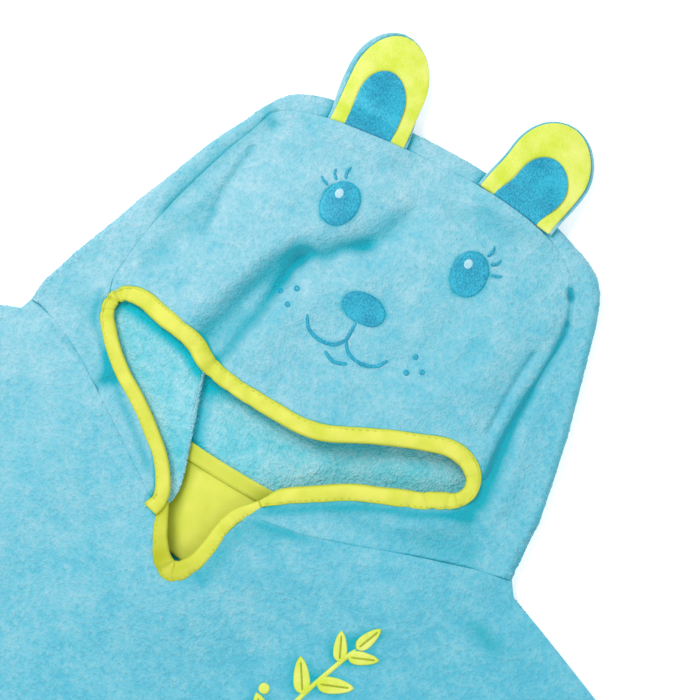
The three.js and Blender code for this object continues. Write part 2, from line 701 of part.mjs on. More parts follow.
function earLift(y) {
  for (let i = 0; i + 1 < EAR_LIFT.length; i += 1) {
    const [from, to] = [EAR_LIFT[i], EAR_LIFT[i + 1]];
    if (y <= to.y) {
      return mix(from.z, to.z, Math.max(0, (y - from.y) / (to.y - from.y)));
    }
  }
  return EAR_LIFT.at(-1).z;
}

/** Plan of an ear: a tongue with a round end; the scales shrink it about its sewn end. */
function earPlan(ear, { width, length }, shift) {
  return (u, v) => {
    const across = 2 * u - 1;
    const reach = (ear.tipY - ear.baseY) * length;
    const t = 1 - (1 - v) ** 1.5;
    const round = Math.max(0, (t - EAR_ROUND_FROM) / (1 - EAR_ROUND_FROM));
    const taper = Math.sqrt(Math.max(0.02, 1 - round ** 2));
    const half = ear.half * width * taper;
    const bend = t < 0.5 ? mix(ear.baseX, ear.midX, t * 2) : mix(ear.midX, ear.tipX, t * 2 - 1);
    const slope = across * ear.half * width * Math.sin(ear.baseTurn) * (1 - t);
    return { x: bend + shift * smooth(0, 0.4, t) + across * half, y: ear.baseY + slope + reach * t };
  };
}

function earPieces(side) {
  const ear = EARS[side];
  const rimLift = EAR_WALL + GAP;
  const innerLift = rimLift + JERSEY + 2 * GAP;
  const backPlan = earPlan(ear, EAR_BACK, ear.border / 2);
  const middlePlan = earPlan(ear, EAR_MIDDLE, EAR_MIDDLE.shift);
  const back = layer(6, 9, backPlan, (x, y) => earLift(y), () => EAR_WALL);
  const rim = layer(6, 9, earPlan(ear, EAR_FRONT, 0), (x, y) => earLift(y) + rimLift, () => JERSEY);
  const middle = layer(5, 7, middlePlan, (x, y) => earLift(y) + innerLift, () => JERSEY * 0.6);
  return [
    pieceOf(`ear_back_${side}`, "terry", back),
    pieceOf(`ear_front_${side}`, "satin", rim),
    pieceOf(`ear_middle_${side}`, "teal", middle),
  ];
}

// The whole garment

const group = new THREE.Group();
group.add(pieceOf("body_back", "terry", bodyBack()));
group.add(pieceOf("body_front", "terry", bodyFront()));
group.add(pieceOf("hood_back", "terry", hoodBack()));
group.add(pieceOf("hood_tuck", "terry", hoodTuck()));
group.add(pieceOf("hood_front", "terry", hoodFront()));
group.add(...earPieces("left"), ...earPieces("right"));
group.add(pieceOf("face_binding", "lime", band(openingPath, openingWidths, hoodLift)));
group.add(pieceOf("neck_binding", "lime", band(vPath, vWidths, bodyLift)));
group.add(pieceOf("neck_tape", "lime", neckTape()));
group.add(pieceOf("neck_facing", "lime", neckFacing()));

export default group;
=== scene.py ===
"""A child's hooded bath poncho of terry towelling, laid out flat with its face up.

Lengths in the shape functions are millimetres, as a cutter would write them, and turn into metres
where a mesh gets its points. +Y runs up to the top of the hood and +Z up from the floor.
"""

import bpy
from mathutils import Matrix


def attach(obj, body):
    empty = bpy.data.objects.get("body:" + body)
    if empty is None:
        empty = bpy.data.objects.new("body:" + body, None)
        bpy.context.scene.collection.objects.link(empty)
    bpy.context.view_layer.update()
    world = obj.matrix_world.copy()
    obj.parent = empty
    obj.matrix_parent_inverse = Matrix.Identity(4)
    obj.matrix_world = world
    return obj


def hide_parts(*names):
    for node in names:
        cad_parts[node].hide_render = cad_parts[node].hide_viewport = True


bl_info = {
    "name": "Hooded bath poncho",
    "version": (1, 0, 0),
    "blender": (4, 5, 0),
    "location": "3D View > Sidebar > Poncho",
    "description": "Towelling, bindings, stitching and light for a child's bath poncho laid out flat",
    "category": "Object",
}

import math
import random

import bmesh
import bpy
import numpy
from mathutils import Matrix, Vector, noise
from mathutils.bvhtree import BVHTree

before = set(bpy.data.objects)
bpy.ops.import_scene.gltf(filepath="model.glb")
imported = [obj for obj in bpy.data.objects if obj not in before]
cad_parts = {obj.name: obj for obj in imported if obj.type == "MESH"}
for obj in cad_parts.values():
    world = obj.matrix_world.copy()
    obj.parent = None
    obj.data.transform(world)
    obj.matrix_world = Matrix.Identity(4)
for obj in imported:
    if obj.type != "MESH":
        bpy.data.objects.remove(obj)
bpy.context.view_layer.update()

MM = 0.001
TERRY = 3.0
JERSEY = 1.2
GAP = 0.3
FOLD_RADIUS = 5.0
HOOD_RISE = 5.0
HOOD_RISE_REACH = 60.0
BROW_RISE = 4.0
BROW_Y = 24.0
BROW_SPREAD_X = 80.0
BROW_SPREAD_Y = 36.0
FOLDED_DOME = 0.35  # share of the hood's rise from which its folds are full
CREASES_START, CREASES_FULL = 2.0, 14.0  # distances from the hood's folded outline
LEAST_LIFT = 3.6  # no crease goes lower
FOLD_REACH = 2.6  # how many widths away a fold still counts
FOLD_TURN_SHARE = 0.42
FOLD_RISE_SHARE = 0.6
HOOD_PILE = 0.45
PANEL_OVERLAP = 0.9  # how far the face panel's border rolls over the seam
SEAM_THINNESS = 0.38  # share of a layer's thickness that a seam leaves it
NECK_REACH = 75.0
NECK_RANGE_Y = -180.0  # the neck lifts nothing below it
RAISED_HALF_WIDTH = 162.0
EDGE_REACH = 26.0
BINDING_THICKNESS = 5.0
BAND_MIDDLE = TERRY / 2 + 0.5  # height of a binding's middle above the cloth's underside
SEAM_INSET = 1.7  # distance of a binding's stitching from its edge on the cloth
BOUND = 1.3  # how deep a cloth edge lies in the fold of its binding
NECK_OVERLAP = 0.9  # how far the body's front reaches under the hood at the neck seam
BODY_HALF_WIDTH = 320.0
HEM_Y = -600.0
SHOULDER_TIP_Y = -66.0
SHOULDERS = {"left": (-173, -3), "right": (171, -6)}
SHOULDER_CURVE = 1.05
SHOULDER_STEPS = 7
HEM_ROUNDING = 22.0
HEM_CORNER_SHARE = 0.05
BACK_NECK_Y = -28.0
BACK_NECK_CURVE = 2.2
TAPE_WIDTH = 10.0
TAPE_HALF_LENGTH = 120.0
FACING_HALF_WIDTH = 92.0
FACING_DEPTH = 58.0

# Middle of the binding round the face opening as x, y and width, from the left side of the neck.
OPENING_BINDING = [
    (-44, -66, 9.4), (-44.5, -54, 9), (-53, -41, 9), (-66, -29, 9), (-82, -17, 9), (-99, -6.5, 9),
    (-112, 4, 9), (-121, 13.5, 9), (-125, 18.5, 8.5), (-127.2, 24, 8.5), (-127, 29.5, 8.5),
    (-124.2, 34.5, 9), (-118, 38, 10.5), (-109, 38.5, 11), (-97, 36, 11.5), (-84, 34, 11),
    (-71, 31, 11.5), (-61, 25.5, 11.5), (-48, 22, 10.5), (-30, 20.5, 10.5), (-10, 20, 10.5),
    (10, 20.5, 10.5), (24, 24, 10.5), (38, 31, 10), (56, 39.5, 10), (75, 47.5, 10), (92, 53, 11),
    (103, 52, 11), (109.5, 48.8, 10.5), (114, 43.8, 9.5), (115.6, 37.5, 9), (114, 31.3, 9),
    (110, 27, 9.8), (102, 22.4, 11), (90, 16, 11), (72, 8.5, 10.5), (54, 0.5, 10.5), (37, -10.5, 10.5),
    (24, -19, 10), (12, -28, 10),
]
LEFT_CORNER_ROW = 10
RIGHT_CORNER_ROW = 29
TAB_CORNER = (-44, -65.5)

# Middle of the binding round the V of the neck, from its left top to its right top.
V_BINDING = [
    (-36, -71, 8.5), (-32, -79, 9), (-26, -88, 10.5), (-20, -93, 12.5), (-14, -93.5, 13.5),
    (-8.5, -87.5, 11), (-5, -79, 9.5), (-3.2, -70, 9.5), (-2.4, -61, 9), (-1.2, -53, 9), (3.2, -44.5, 9),
]

# The bindings as they show: the tab's slanting end, and the V's end under the opening's binding.
OPENING_SHOWN = [(-45, -68.8, 10.4), (-43.4, -57, 9.6)] + OPENING_BINDING[2:-1]
OPENING_SHOWN += [(18.9, -23.2, 9.6), (14.7, -27.8, 7), (10.5, -32.6, 4.2)]
V_SHOWN = [(-41, -60, 7)] + V_BINDING[:-1] + [(2, -45.5, 9), (6.7, -38.4, 6.8), (11.2, -32, 4.4)]
# Creases across the bindings: place along, share of the height that goes, width and lean.
OPENING_CREASES = [
    (10, 0.3, 1.6, 1.5), (112, 0.35, 2.2, 2), (128, 0.65, 1.7, 3), (135, 0.75, 1.5, -2), (142, 0.55, 1.7, 2),
    (150, 0.3, 2.4, -3), (196, 0.2, 2.6, 3), (226, 0.4, 1.8, 2.5), (240, 0.35, 1.8, -1.5),
    (247, 0.3, 1.5, 2), (300, 0.15, 3, 3), (352, 0.15, 3, -2), (408, 0.3, 2, 2), (418, 0.4, 1.6, -2),
    (432, 0.6, 1.8, 2.5), (440, 0.4, 2, -2), (480, 0.15, 3, 2), (520, 0.2, 2.4, -2), (556, 0.3, 2, 2),
]
V_CREASES = [
    (20, 0.2, 2, 1), (36, 0.4, 2, -2), (44, 0.5, 1.8, 1), (52, 0.35, 2, 2), (82, 0.4, 2, -2),
    (92, 0.3, 2, 2),
]
STITCH_PITCH = 2.9
STITCH_LEVEL = 0.76  # height of the stitches on a binding, as a share of half its thickness
HEM_PITCH = 4.2
HEM_INSET = 16.0
HOOD_LOOPS = 1600
TUCK_LOOPS = 1100
CREASED = ("hood_panel", "face_panel")
AWAY = (0.86, -0.5, 0.0)  # towards the lower right of the hood, away from the key light
AWAY_SHARE = 0.55  # how much a slope that faces that way counts as hidden
TROUGH_SHARE = 0.115  # how much each millimetre of a crease's depth counts as hidden
HIDDEN_REACH = 0.022  # metres over which other cloth hides a place from the light
SKY_RAYS = ((0.35, 7), (0.75, 6), (1.2, 3))  # angle above the floor and how many go all round

VIEW_CENTRE = Vector((0.011, 0.074, 0))
VIEW_UP = Vector((-0.5, 0.866, 0))
VIEW_RIGHT = Vector((0.866, 0.5, 0))
VIEW_TURN = 30  # degrees
VIEW_WIDTH = 0.42
VIEW_DISTANCE = 2.0
CAMERA_HEIGHT = 2.01
SENSOR_WIDTH = 36

# Middles of the eyes, each with the side that its lashes turn to.
EYES = [(-38, 147, -1), (50, 149, 1)]
FACE_LINES = [
    [(6, 90), (6, 84), (6, 77)],
    [(-22, 80), (-17, 73), (-8, 70), (1, 72), (6, 78)],
    [(34, 80), (29, 73), (20, 70), (11, 72), (6, 78)],
    [(-2, 66), (6, 63), (14, 66)],
]
FRECKLES = [(-35, 90), (-43, 84), (-35, 79), (47, 90), (55, 84), (47, 79)]
SPRIG_STEM = [(86, -196), (83, -170), (84, -145), (90, -120), (98, -96), (104, -80)]
# Leaves of the sprig: place along the stem, turn from it and length.
SPRIG_LEAVES = [
    (0.12, 0.9, 27), (0.2, -0.9, 27), (0.36, 0.9, 26), (0.44, -0.9, 26), (0.6, 0.85, 24), (0.68, -0.85, 24),
    (0.84, 0.8, 20), (0.9, -0.8, 20), (1.0, 0.0, 20),
]
SPRIG_BERRIES = [(68, -128), (112, -116), (64, -166), (106, -160)]

LEFT_CHEEK_OUTLINE = [(-170, 4), (-169, 18), (-164, 34), (-160.5, 45)]
RIGHT_CHEEK_OUTLINE = [(161.5, 38), (162.5, 22), (164, 3)]
# The hood's folded outline and the seam of its face panel, from the left over the top to the right.
FACE_SEAM = [
    (-157.5, 53, -133, 41), (-151, 70, -131, 66), (-143, 92, -127, 90), (-134, 114, -121.5, 111),
    (-124, 140, -113, 139), (-113, 162, -105, 160), (-104.5, 179, -101, 172.5), (-94, 191, -91, 180.5),
    (-74, 199, -70, 187), (-45, 204, -44, 191), (-15, 206.5, -18, 194.5), (15, 207.5, 12, 197),
    (45, 206, 42, 196.5), (75, 202, 68, 193.5), (98, 195, 89, 187.5), (115, 188, 101, 180),
    (124, 178.5, 109, 171), (130.5, 165, 114.5, 160), (137, 143, 118.5, 143), (144, 118, 117.5, 119),
    (150.5, 94, 118, 94), (156, 69, 119.5, 70), (160.5, 46, 120, 49),
]
LEFT_DIMPLE_ROW = 6
RIGHT_DIMPLE_ROW = 16

# Where each cheek's neck edge ends, how far it bows and how that bow is shifted along it.
FRONT_NECK = {"left": (-47.6, -63.4, 8, 0.6), "right": (6.5, -42.5, -4, 2.5)}

# The tuck that shows through the face opening: its folded edge and its far edge, from the neck up.
TUCK_EDGE = [
    (-38, -61, -52, -60), (-36.5, -51, -60, -47), (-39, -39, -76, -35), (-45, -21, -96, -19),
    (-50, -6, -116, -2), (-54, 5, -124, 16), (-58, 18, -122, 34), (-64, 40, -112, 56), (-74, 62, -100, 76),
]
TUCK_TOP = 9.0
TUCK_OVER_TAPE = 6.4
TUCK_OFF_TAPE = (14, 8)  # distances above the tape over which the tuck comes down to it
TUCK_CURVE = 1.6
TUCK_SPAN = 45.0
TUCK_ROUNDING = 7.0
TUCK_THINNESS = 0.25


def with_reach(folds):
    """Folds with the box outside which each no longer counts."""
    reached = []
    for width, height, points in folds:
        xs, ys = [x for x, _ in points], [y for _, y in points]
        reach = FOLD_REACH * width
        box = (min(xs) - reach, max(xs) + reach, min(ys) - reach, max(ys) + reach)
        reached.append((width, height, points, box))
    return reached


# Folds as width, height and the points along each; troughs are below 0.
HOOD_FOLDS = with_reach([
    (11, -4, [(-64, 40), (-58, 68), (-47, 88), (-38, 107), (-18, 125), (-4, 142), (4, 162)]),
    (13, 2.6, [(-82, 48), (-76, 72), (-66, 96), (-52, 118), (-32, 138)]),
    (12, 2.2, [(-32, 44), (-30, 70), (-20, 92), (-2, 112)]),
    (7, -1.6, [(-101, 150), (-103, 120), (-101, 91)]),
    (8, -1.8, [(108, 131), (105, 100), (107, 70)]),
    (14, 2, [(60, 66), (84, 96), (90, 128)]),
    (9, -1.5, [(30, 60), (52, 96), (58, 130)]),
    (10, 1.8, [(140, 40), (136, 72), (131, 104)]),
])
BODY_FOLDS = with_reach([
    (34, 2.4, [(120, -60), (150, -150), (160, -260)]),
    (30, 2, [(-110, -90), (-140, -180), (-150, -300)]),
    (36, 2.6, [(20, -220), (30, -340), (10, -480)]),
    (32, 1.8, [(-240, -130), (-250, -250), (-235, -400)]),
    (32, 2.2, [(245, -150), (238, -300), (250, -450)]),
    (26, 1.6, [(-70, -420), (-84, -520), (-80, -580)]),
])

# Narrow creases, which only the cloth's surface has.
HOOD_CREASES = with_reach([
    (3.2, -3.0, [
        (-56, 22), (-52, 38), (-50, 54), (-47.6, 63), (-46.3, 73), (-45.2, 85), (-43.7, 92.5), (-44, 100),
        (-42, 107),
    ]),
    (8, -2.2, [(-68, 24), (-65, 40), (-60, 52), (-57, 64), (-54, 75), (-51, 87), (-48, 98), (-44, 108)]),
    (3.4, -2.4, [(-43, 105), (-38.5, 112), (-31, 113.7), (-26, 119), (-21.8, 125), (-10.4, 133)]),
    (5, -1.8, [(-12, 132), (-3.4, 146), (0.3, 160)]),
    (7, 1.7, [(-39, 42), (-38, 60), (-37, 78), (-35, 92), (-34, 101)]),
    (6, 1.2, [(-72, 60), (-67, 78), (-62, 98), (-54, 112)]),
    (4, 0.9, [(-55, 66), (-51, 82), (-49, 94)]),
    (2.4, -2.8, [(108.6, 170.6), (110.6, 167.8)]),
    (1.8, -1.7, [(110, 168), (114, 160.5), (116.6, 153)]),
    (6, -1.6, [(117, 104), (117.5, 84), (119, 64), (123, 46), (124, 34)]),
    (8, -0.6, [(123, 22), (119, 8), (110, -3)]),
    (2.6, -2.4, [(117.2, 151), (118.3, 144), (118.8, 133), (119, 119), (118, 94), (118.5, 70), (121, 50)]),
    (7, 1.7, [(104, 150), (108, 128), (109, 100), (111, 66)]),
    (2.3, -2.3, [(108, 126), (106.7, 108), (107.2, 88), (108, 72)]),
    (2.2, -1.3, [(-100, 150), (-102.5, 126), (-102, 108), (-100, 91)]),
    (6, -1.8, [(-128, 92), (-123, 112), (-115, 138), (-104, 164)]),
    (4, -2.4, [(-104, 176), (-101, 171), (-96, 168)]),
    (3, -2, [(-100, -8), (-107, -17), (-112, -26)]),
    (8, -1.5, [(-120, 60), (-113, 84), (-106, 104)]),
    (10, 1.4, [(-84, 100), (-74, 128), (-62, 150)]),
    (6, -1.2, [(56, 74), (70, 92), (76, 116)]),
    (7, 1.2, [(18, 50), (30, 64), (48, 74), (70, 78)]),
    (8, -1.4, [(24, 176), (40, 182), (62, 180)]),
    (6, -1.3, [(126, 20), (134, 6), (140, -8)]),
    (7, -1.3, [(60, -18), (84, -12), (112, -2), (136, 2)]),
    (6, -1.2, [(-140, 20), (-132, 2), (-118, -12)]),
])
FACING_FOLDS = with_reach([
    (6, 0.5, [(-24, -44), (-21, -60), (-18, -78)]),
    (5, 0.45, [(-6, -40), (-8, -58), (-12, -74)]),
    (4, 0.4, [(8, -40), (2, -48)]),
])
INSIDE_FOLDS = with_reach([
    (4.5, 1.6, [(36, 27), (31, 11), (26, -1), (22, -11)]),
    (7, 0.9, [(-26, 14), (-12, 6), (2, -6)]),
    (6, 0.8, [(58, 36), (72, 30), (88, 26)]),
])
# Places in the shade of a binding or a fold on each piece, as width, share hidden and the points along.
SHADES = {
    "front_panel": [
        (8, 0.3, [(40, -35), (26, -41), (14, -46), (7, -56), (5, -66), (4.5, -79), (1, -88)]),
        (1.8, 0.12, [(9, -44.5), (24, -42.5), (40, -39), (62, -33)]),
        (4.5, 0.3, [(160, -33), (169, -35.5), (175, -37)]),
        (10, 0.12, [(138, -30), (160, -33), (180, -37), (198, -38)]),
        (3, 0.2, [(-154, -3), (-142, -6), (-132, -9)]),
    ],
    "facing": [(9, 0.55, [(-37, -36), (-36, -52), (-33, -66), (-27, -80)])],
    "v_binding": [
        (7, 0.4, [(-40, -62), (-32, -78), (-25, -89)]),
        (9, 0.4, [(-28, -92), (-20, -97), (-13, -97), (-7, -88)]),
    ],
    "hood_panel": [
        (4, 0.42, [(116, 20), (108, 16), (93, 8), (75, 1), (58, -7), (41, -18), (28, -27), (15, -35)]),
        (7, 0.75, [(-39, -26), (-44, -10), (-49, 4), (-55, 20)]),
        (12, 0.3, [(66, 25), (84, 32), (102, 36)]),
        (6, 0.6, [(-44, 15), (-30, 13.5), (-10, 13), (10, 13.5), (24, 17), (38, 24), (56, 32)]),
        (4, 0.42, [(-112, -1), (-109.5, -7), (-108, -15)]),
        (3, 0.3, [(-136, 30), (-132, 14), (-112, -4), (-92, -21), (-72, -36), (-58, -48)]),
        (6, 0.32, [(118.5, 74), (120.5, 60), (122.5, 48), (124.5, 36), (122, 25)]),
        (3.5, 0.4, [(35, 25), (30, 10), (25, -2), (21, -12)]),
    ],
    "opening_binding": [
        (16, 0.16, [(-126, 24), (-112, 4), (-82, -17), (-53, -41), (-45, -60)]),
        (5, 0.4, [(-63, 31), (-58, 22)]),
        (2.5, 0.35, [(-49, 27), (-46, 18)]),
    ],
    "tape": [(12, 0.42, [(-120, -12), (-60, -26), (0, -28), (60, -26), (120, -12)])],
    "tuck": [
        (5, 0.25, [(-124, 16), (-104, 2), (-86, -12), (-66, -26), (-54, -38)]),
        (8, 0.8, [(-118, 31), (-97, 29), (-84, 27), (-71, 24), (-61, 18)]),
    ],
}

EARS = {
    "left": {"base": (-45, 191), "turn": 0.14, "mid": -48, "tip": (-50.5, 254.5), "half": 23.5, "border": -4},
    "right": {"base": (54.5, 196), "turn": -0.1, "mid": 60, "tip": (60, 257), "half": 25, "border": 1},
}
# Height of an ear's underside at each y, from on top of the hood down to the floor.
EAR_LIFT = [(190, 10.6), (203, 10.6), (209, 8.8), (216, 6), (226, 3.2), (240, 1.2), (262, 0.5)]
EAR_WALL = 2.6
EAR_RISE = 5.0  # how far an ear lifts the face panel's border
EAR_RISE_LENGTH = 22.0
EAR_RISE_MARGIN = 4.0


# Curves and heights


def smooth(edge0, edge1, value):
    t = min(1.0, max(0.0, (value - edge0) / (edge1 - edge0)))
    return t * t * (3 - 2 * t)


def mix(a, b, t):
    return a + (b - a) * t


def mix_points(a, b, t):
    return (a[0] + (b[0] - a[0]) * t, a[1] + (b[1] - a[1]) * t)


def chain_point(points, t):
    """A point on straight stretches, an equal share of the run for each stretch."""
    place = min(1.0, max(0.0, t)) * (len(points) - 1)
    i = min(len(points) - 2, int(place))
    return mix_points(points[i], points[i + 1], place - i)


def curve_point(points, t):
    """A point on a smooth curve through the points, an equal share of the run for each stretch."""
    last = len(points) - 1
    place = min(1.0, max(0.0, t)) * last
    i = min(last - 1, int(place))
    f = place - i
    before = points[max(0, i - 1)]
    a, b = points[i], points[i + 1]
    after = points[min(last, i + 2)]
    result = []
    for k in range(len(a)):
        slope_a = (b[k] - before[k]) * 0.5
        slope_b = (after[k] - a[k]) * 0.5
        c2 = -3 * a[k] + 3 * b[k] - 2 * slope_a - slope_b
        c3 = 2 * a[k] - 2 * b[k] + slope_a + slope_b
        result.append(((c3 * f + c2) * f + slope_a) * f + a[k])
    return tuple(result)


def curve_run(points, t):
    a = curve_point(points, t - 0.002)
    b = curve_point(points, t + 0.002)
    length = math.hypot(b[0] - a[0], b[1] - a[1]) or 1.0
    return ((b[0] - a[0]) / length, (b[1] - a[1]) / length)


def beside(points, t, side):
    """A point beside a curve; side is above 0 to the left of its run."""
    point = curve_point(points, t)
    run = curve_run(points, t)
    return (point[0] - run[1] * side, point[1] + run[0] * side)


def moved_aside(points, distance):
    moved = []
    for i, (x, y) in enumerate(points):
        a, b = points[max(0, i - 1)], points[min(len(points) - 1, i + 1)]
        run = math.hypot(b[0] - a[0], b[1] - a[1])
        moved.append((x - (b[1] - a[1]) / run * distance, y + (b[0] - a[0]) / run * distance))
    return moved


def distance_to(points, x, y):
    nearest = 1e9
    for (ax, ay), (bx, by) in zip(points, points[1:]):
        dx, dy = bx - ax, by - ay
        t = ((x - ax) * dx + (y - ay) * dy) / (dx * dx + dy * dy)
        t = min(1.0, max(0.0, t))
        nearest = min(nearest, (x - ax - dx * t) ** 2 + (y - ay - dy * t) ** 2)
    return math.sqrt(nearest)


def fold_lift(folds, x, y):
    lift = 0.0
    for width, height, points, (left, right, low, high) in folds:
        if left < x < right and low < y < high:
            lift += height * math.exp(-(distance_to(points, x, y) / width) ** 2)
    return lift


HOOD_OUTLINE = LEFT_CHEEK_OUTLINE + [(x, y) for x, y, _, _ in FACE_SEAM] + RIGHT_CHEEK_OUTLINE


def hood_lift(x, y):
    """Height of the underside of the hood's top layer."""
    dome = smooth(0, HOOD_RISE_REACH, distance_to(HOOD_OUTLINE, x, y) - FOLD_RADIUS)
    brow = math.exp(-((x / BROW_SPREAD_X) ** 2) - ((y - BROW_Y) / BROW_SPREAD_Y) ** 2)
    folds = fold_lift(HOOD_FOLDS, x, y) * smooth(0, FOLDED_DOME, dome)
    return 2 * FOLD_RADIUS - TERRY + HOOD_RISE * dome + BROW_RISE * brow + folds


def creased_lift(x, y):
    """Height of the underside of the hood's top layer, with the narrow creases."""
    inside = smooth(CREASES_START, CREASES_FULL, distance_to(HOOD_OUTLINE, x, y) - FOLD_RADIUS)
    return max(LEAST_LIFT, hood_lift(x, y) + fold_lift(HOOD_CREASES, x, y) * inside)


def panel_lift(x, y):
    """The face panel rises a little where the ears are sewn in under its border."""
    lift = creased_lift(x, y)
    for ear in EARS.values():
        ear_x, ear_y = ear["base"]
        over = math.exp(-((x - ear_x) / (ear["half"] + EAR_RISE_MARGIN)) ** 4)
        lift += EAR_RISE * over * smooth(ear_y - EAR_RISE_LENGTH, ear_y - 1, y)
    return lift


def hood_corner(left):
    return LEFT_CHEEK_OUTLINE[0] if left else RIGHT_CHEEK_OUTLINE[-1]


def back_neck_y(x):
    corner = hood_corner(x < 0)
    return mix(BACK_NECK_Y, corner[1], min(1.0, x / corner[0]) ** BACK_NECK_CURVE)


def front_neck(side, t):
    corner = hood_corner(side == "left")
    inner_x, inner_y, bow, shift = FRONT_NECK[side]
    bend = bow * math.sin(math.pi * max(0.0, t) ** shift)
    return (mix(corner[0], inner_x, t), mix(corner[1], inner_y, t) + bend)


def bound_edge(row):
    """The cloth's edge inside the fold of the opening's binding."""
    width = OPENING_BINDING[row][2]
    return beside(OPENING_BINDING, row / (len(OPENING_BINDING) - 1), width / 2 - BOUND)


def shoulder_point(side, t):
    x, y = SHOULDERS[side]
    tip_x = math.copysign(BODY_HALF_WIDTH, x)
    return (mix(x, tip_x, t), mix(y, SHOULDER_TIP_Y, t ** SHOULDER_CURVE))


# Places along a cheek's neck edge that the body's front follows.
OVER_RUN = [0.12, 0.32, 0.55, 0.78, 1.0]


def neck_half(side):
    corner, end = front_neck(side, 0), front_neck(side, 1)
    start = FOLD_RADIUS / math.hypot(end[0] - corner[0], end[1] - corner[1])
    return [front_neck(side, t) for t in [0, start] + [mix(start, 1, share) for share in OVER_RUN]]


def neck_edge():
    last = len(V_BINDING) - 1
    bound = [beside(V_BINDING, i / last, BOUND - V_BINDING[i][2] / 2) for i in range(last + 1)]
    left, right = neck_half("left"), list(reversed(neck_half("right")))
    return moved_aside(left, NECK_OVERLAP) + [TAB_CORNER] + bound + moved_aside(right, NECK_OVERLAP)


NECK_EDGE = neck_edge()


def body_lift(x, y):
    """Height of the underside of the body's front."""
    floor = TERRY + GAP
    level = 2 * FOLD_RADIUS - TERRY + HOOD_RISE * smooth(0, HOOD_RISE_REACH, RAISED_HALF_WIDTH - abs(x))
    near = smooth(NECK_REACH, 0, distance_to(NECK_EDGE, x, y)) if y > NECK_RANGE_Y else 0.0
    shoulder = min(
        distance_to([start, (math.copysign(BODY_HALF_WIDTH, start[0]), SHOULDER_TIP_Y)], x, y)
        for start in SHOULDERS.values()
    )
    edge = min(shoulder, BODY_HALF_WIDTH - abs(x), y - HEM_Y)
    lift = (level - floor) * near + max(0.0, fold_lift(BODY_FOLDS, x, y))
    return floor + lift * smooth(0, EDGE_REACH, edge)


# Meshes


def pile_noise(x, y, z):
    """Uneven height of the pile, from about -1 to 1."""
    broad = noise.noise(Vector((x / 17, y / 17, z / 17)))
    small = noise.noise(Vector((x / 6.5, y / 6.5, z / 6.5 + 40)))
    return 0.55 * broad + 0.75 * small


PIECES = []


def new_mesh(name, bm):
    mesh = bpy.data.meshes.new(name)
    bm.to_mesh(mesh)
    bm.free()
    return mesh


def new_object(name, data):
    made = bpy.data.objects.new(name, data)
    bpy.context.scene.collection.objects.link(made)
    return made


def finish_piece(bm, name, finish, node=None, inside=None):
    """Makes a piece of the mesh, with smooth faces that point outwards; it stands for a node of the CAD."""
    bmesh.ops.recalc_face_normals(bm, faces=bm.faces[:])
    mesh = new_mesh(name, bm)
    mesh.polygons.foreach_set("use_smooth", [True] * len(mesh.polygons))
    piece = new_object(name, mesh)
    mesh.materials.append(finish_of(finish))
    if inside:
        mesh.materials.append(finish_of(inside))
    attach(piece, "root")
    if node:
        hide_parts(node)
    PIECES.append(piece)
    return piece


def flat_grid(columns, rows):
    """A square around the origin, one unit wide, with a UV map over all of it."""
    bm = bmesh.new()
    bmesh.ops.create_grid(bm, x_segments=columns, y_segments=rows, size=0.5)
    uv_layer = bm.loops.layers.uv.new("UVMap")
    for face in bm.faces:
        for loop in face.loops:
            loop[uv_layer].uv = (loop.vert.co.x + 0.5, loop.vert.co.y + 0.5)
    return bm


def grid_shell(columns, rows, place, inside_index=0):
    """A closed layer of cloth: place(u, v, upper) gives each point in millimetres."""
    bm = flat_grid(columns, rows)
    raised = bmesh.ops.extrude_face_region(bm, geom=bm.faces[:], use_keep_orig=True)
    upper = {item for item in raised["geom"] if isinstance(item, bmesh.types.BMVert)}
    for face in bm.faces:
        face.material_index = 0 if any(vert in upper for vert in face.verts) else inside_index
    for vert in bm.verts:
        u, v = vert.co.x + 0.5, vert.co.y + 0.5
        vert.co = Vector(place(u, v, vert in upper)) * MM
    return bm


def rim_distance(plan, u, v):
    """Distance from a point of a plan to its nearest border."""
    x, y = plan(u, v)
    return min(math.hypot(px - x, py - y) for px, py in (plan(0, v), plan(1, v), plan(u, 0), plan(u, 1)))


def rounded(distance, reach, least):
    """Share of the full thickness at a distance from a soft edge."""
    t = min(1.0, max(0.0, distance / reach))
    return mix(least, 1.0, math.sqrt(1 - (1 - t) ** 2))


def pressed_share(distance):
    """Share of its thickness that a layer has at a distance from the seam that presses it flat."""
    return mix(SEAM_THINNESS, 1.0, smooth(2, 14, distance))


def towel_layer(
    columns, rows, plan, under, wall, edge=4.0, least=0.3, pile=0.4, flat_below=False, press=None
):
    """A layer of towelling over a plan, with rounded borders and an uneven pile.

    press is the y at which the layer is pressed flat by a seam, if it is."""
    known = {}

    def place(u, v, upper):
        key = (round(u, 6), round(v, 6))
        if key not in known:
            x, y = plan(u, v)
            share = rounded(rim_distance(plan, u, v), edge, least)
            known[key] = (x, y, under(x, y), share)
        x, y, low, share = known[key]
        if press is not None:
            share *= pressed_share(y - press)
        if upper:
            top = share if flat_below else 0.5 + 0.5 * share
            return (x, y, low + wall * top + pile * pile_noise(x, y, 0) * share ** 3)
        return (x, y, low + (0 if flat_below else wall * 0.5 * (1 - share)))

    return grid_shell(columns, rows, place)


def eased(value, strength):
    """Spreads even steps so that they are closer at both ends."""
    return mix(value, smooth(0, 1, value), strength)


# Finishes


def linear(colour):
    """A colour given as eight-bit sRGB numbers, as the shader's linear values."""
    parts = [part / 255 for part in colour]
    return tuple(p / 12.92 if p <= 0.04045 else ((p + 0.055) / 1.055) ** 2.4 for p in parts) + (1.0,)


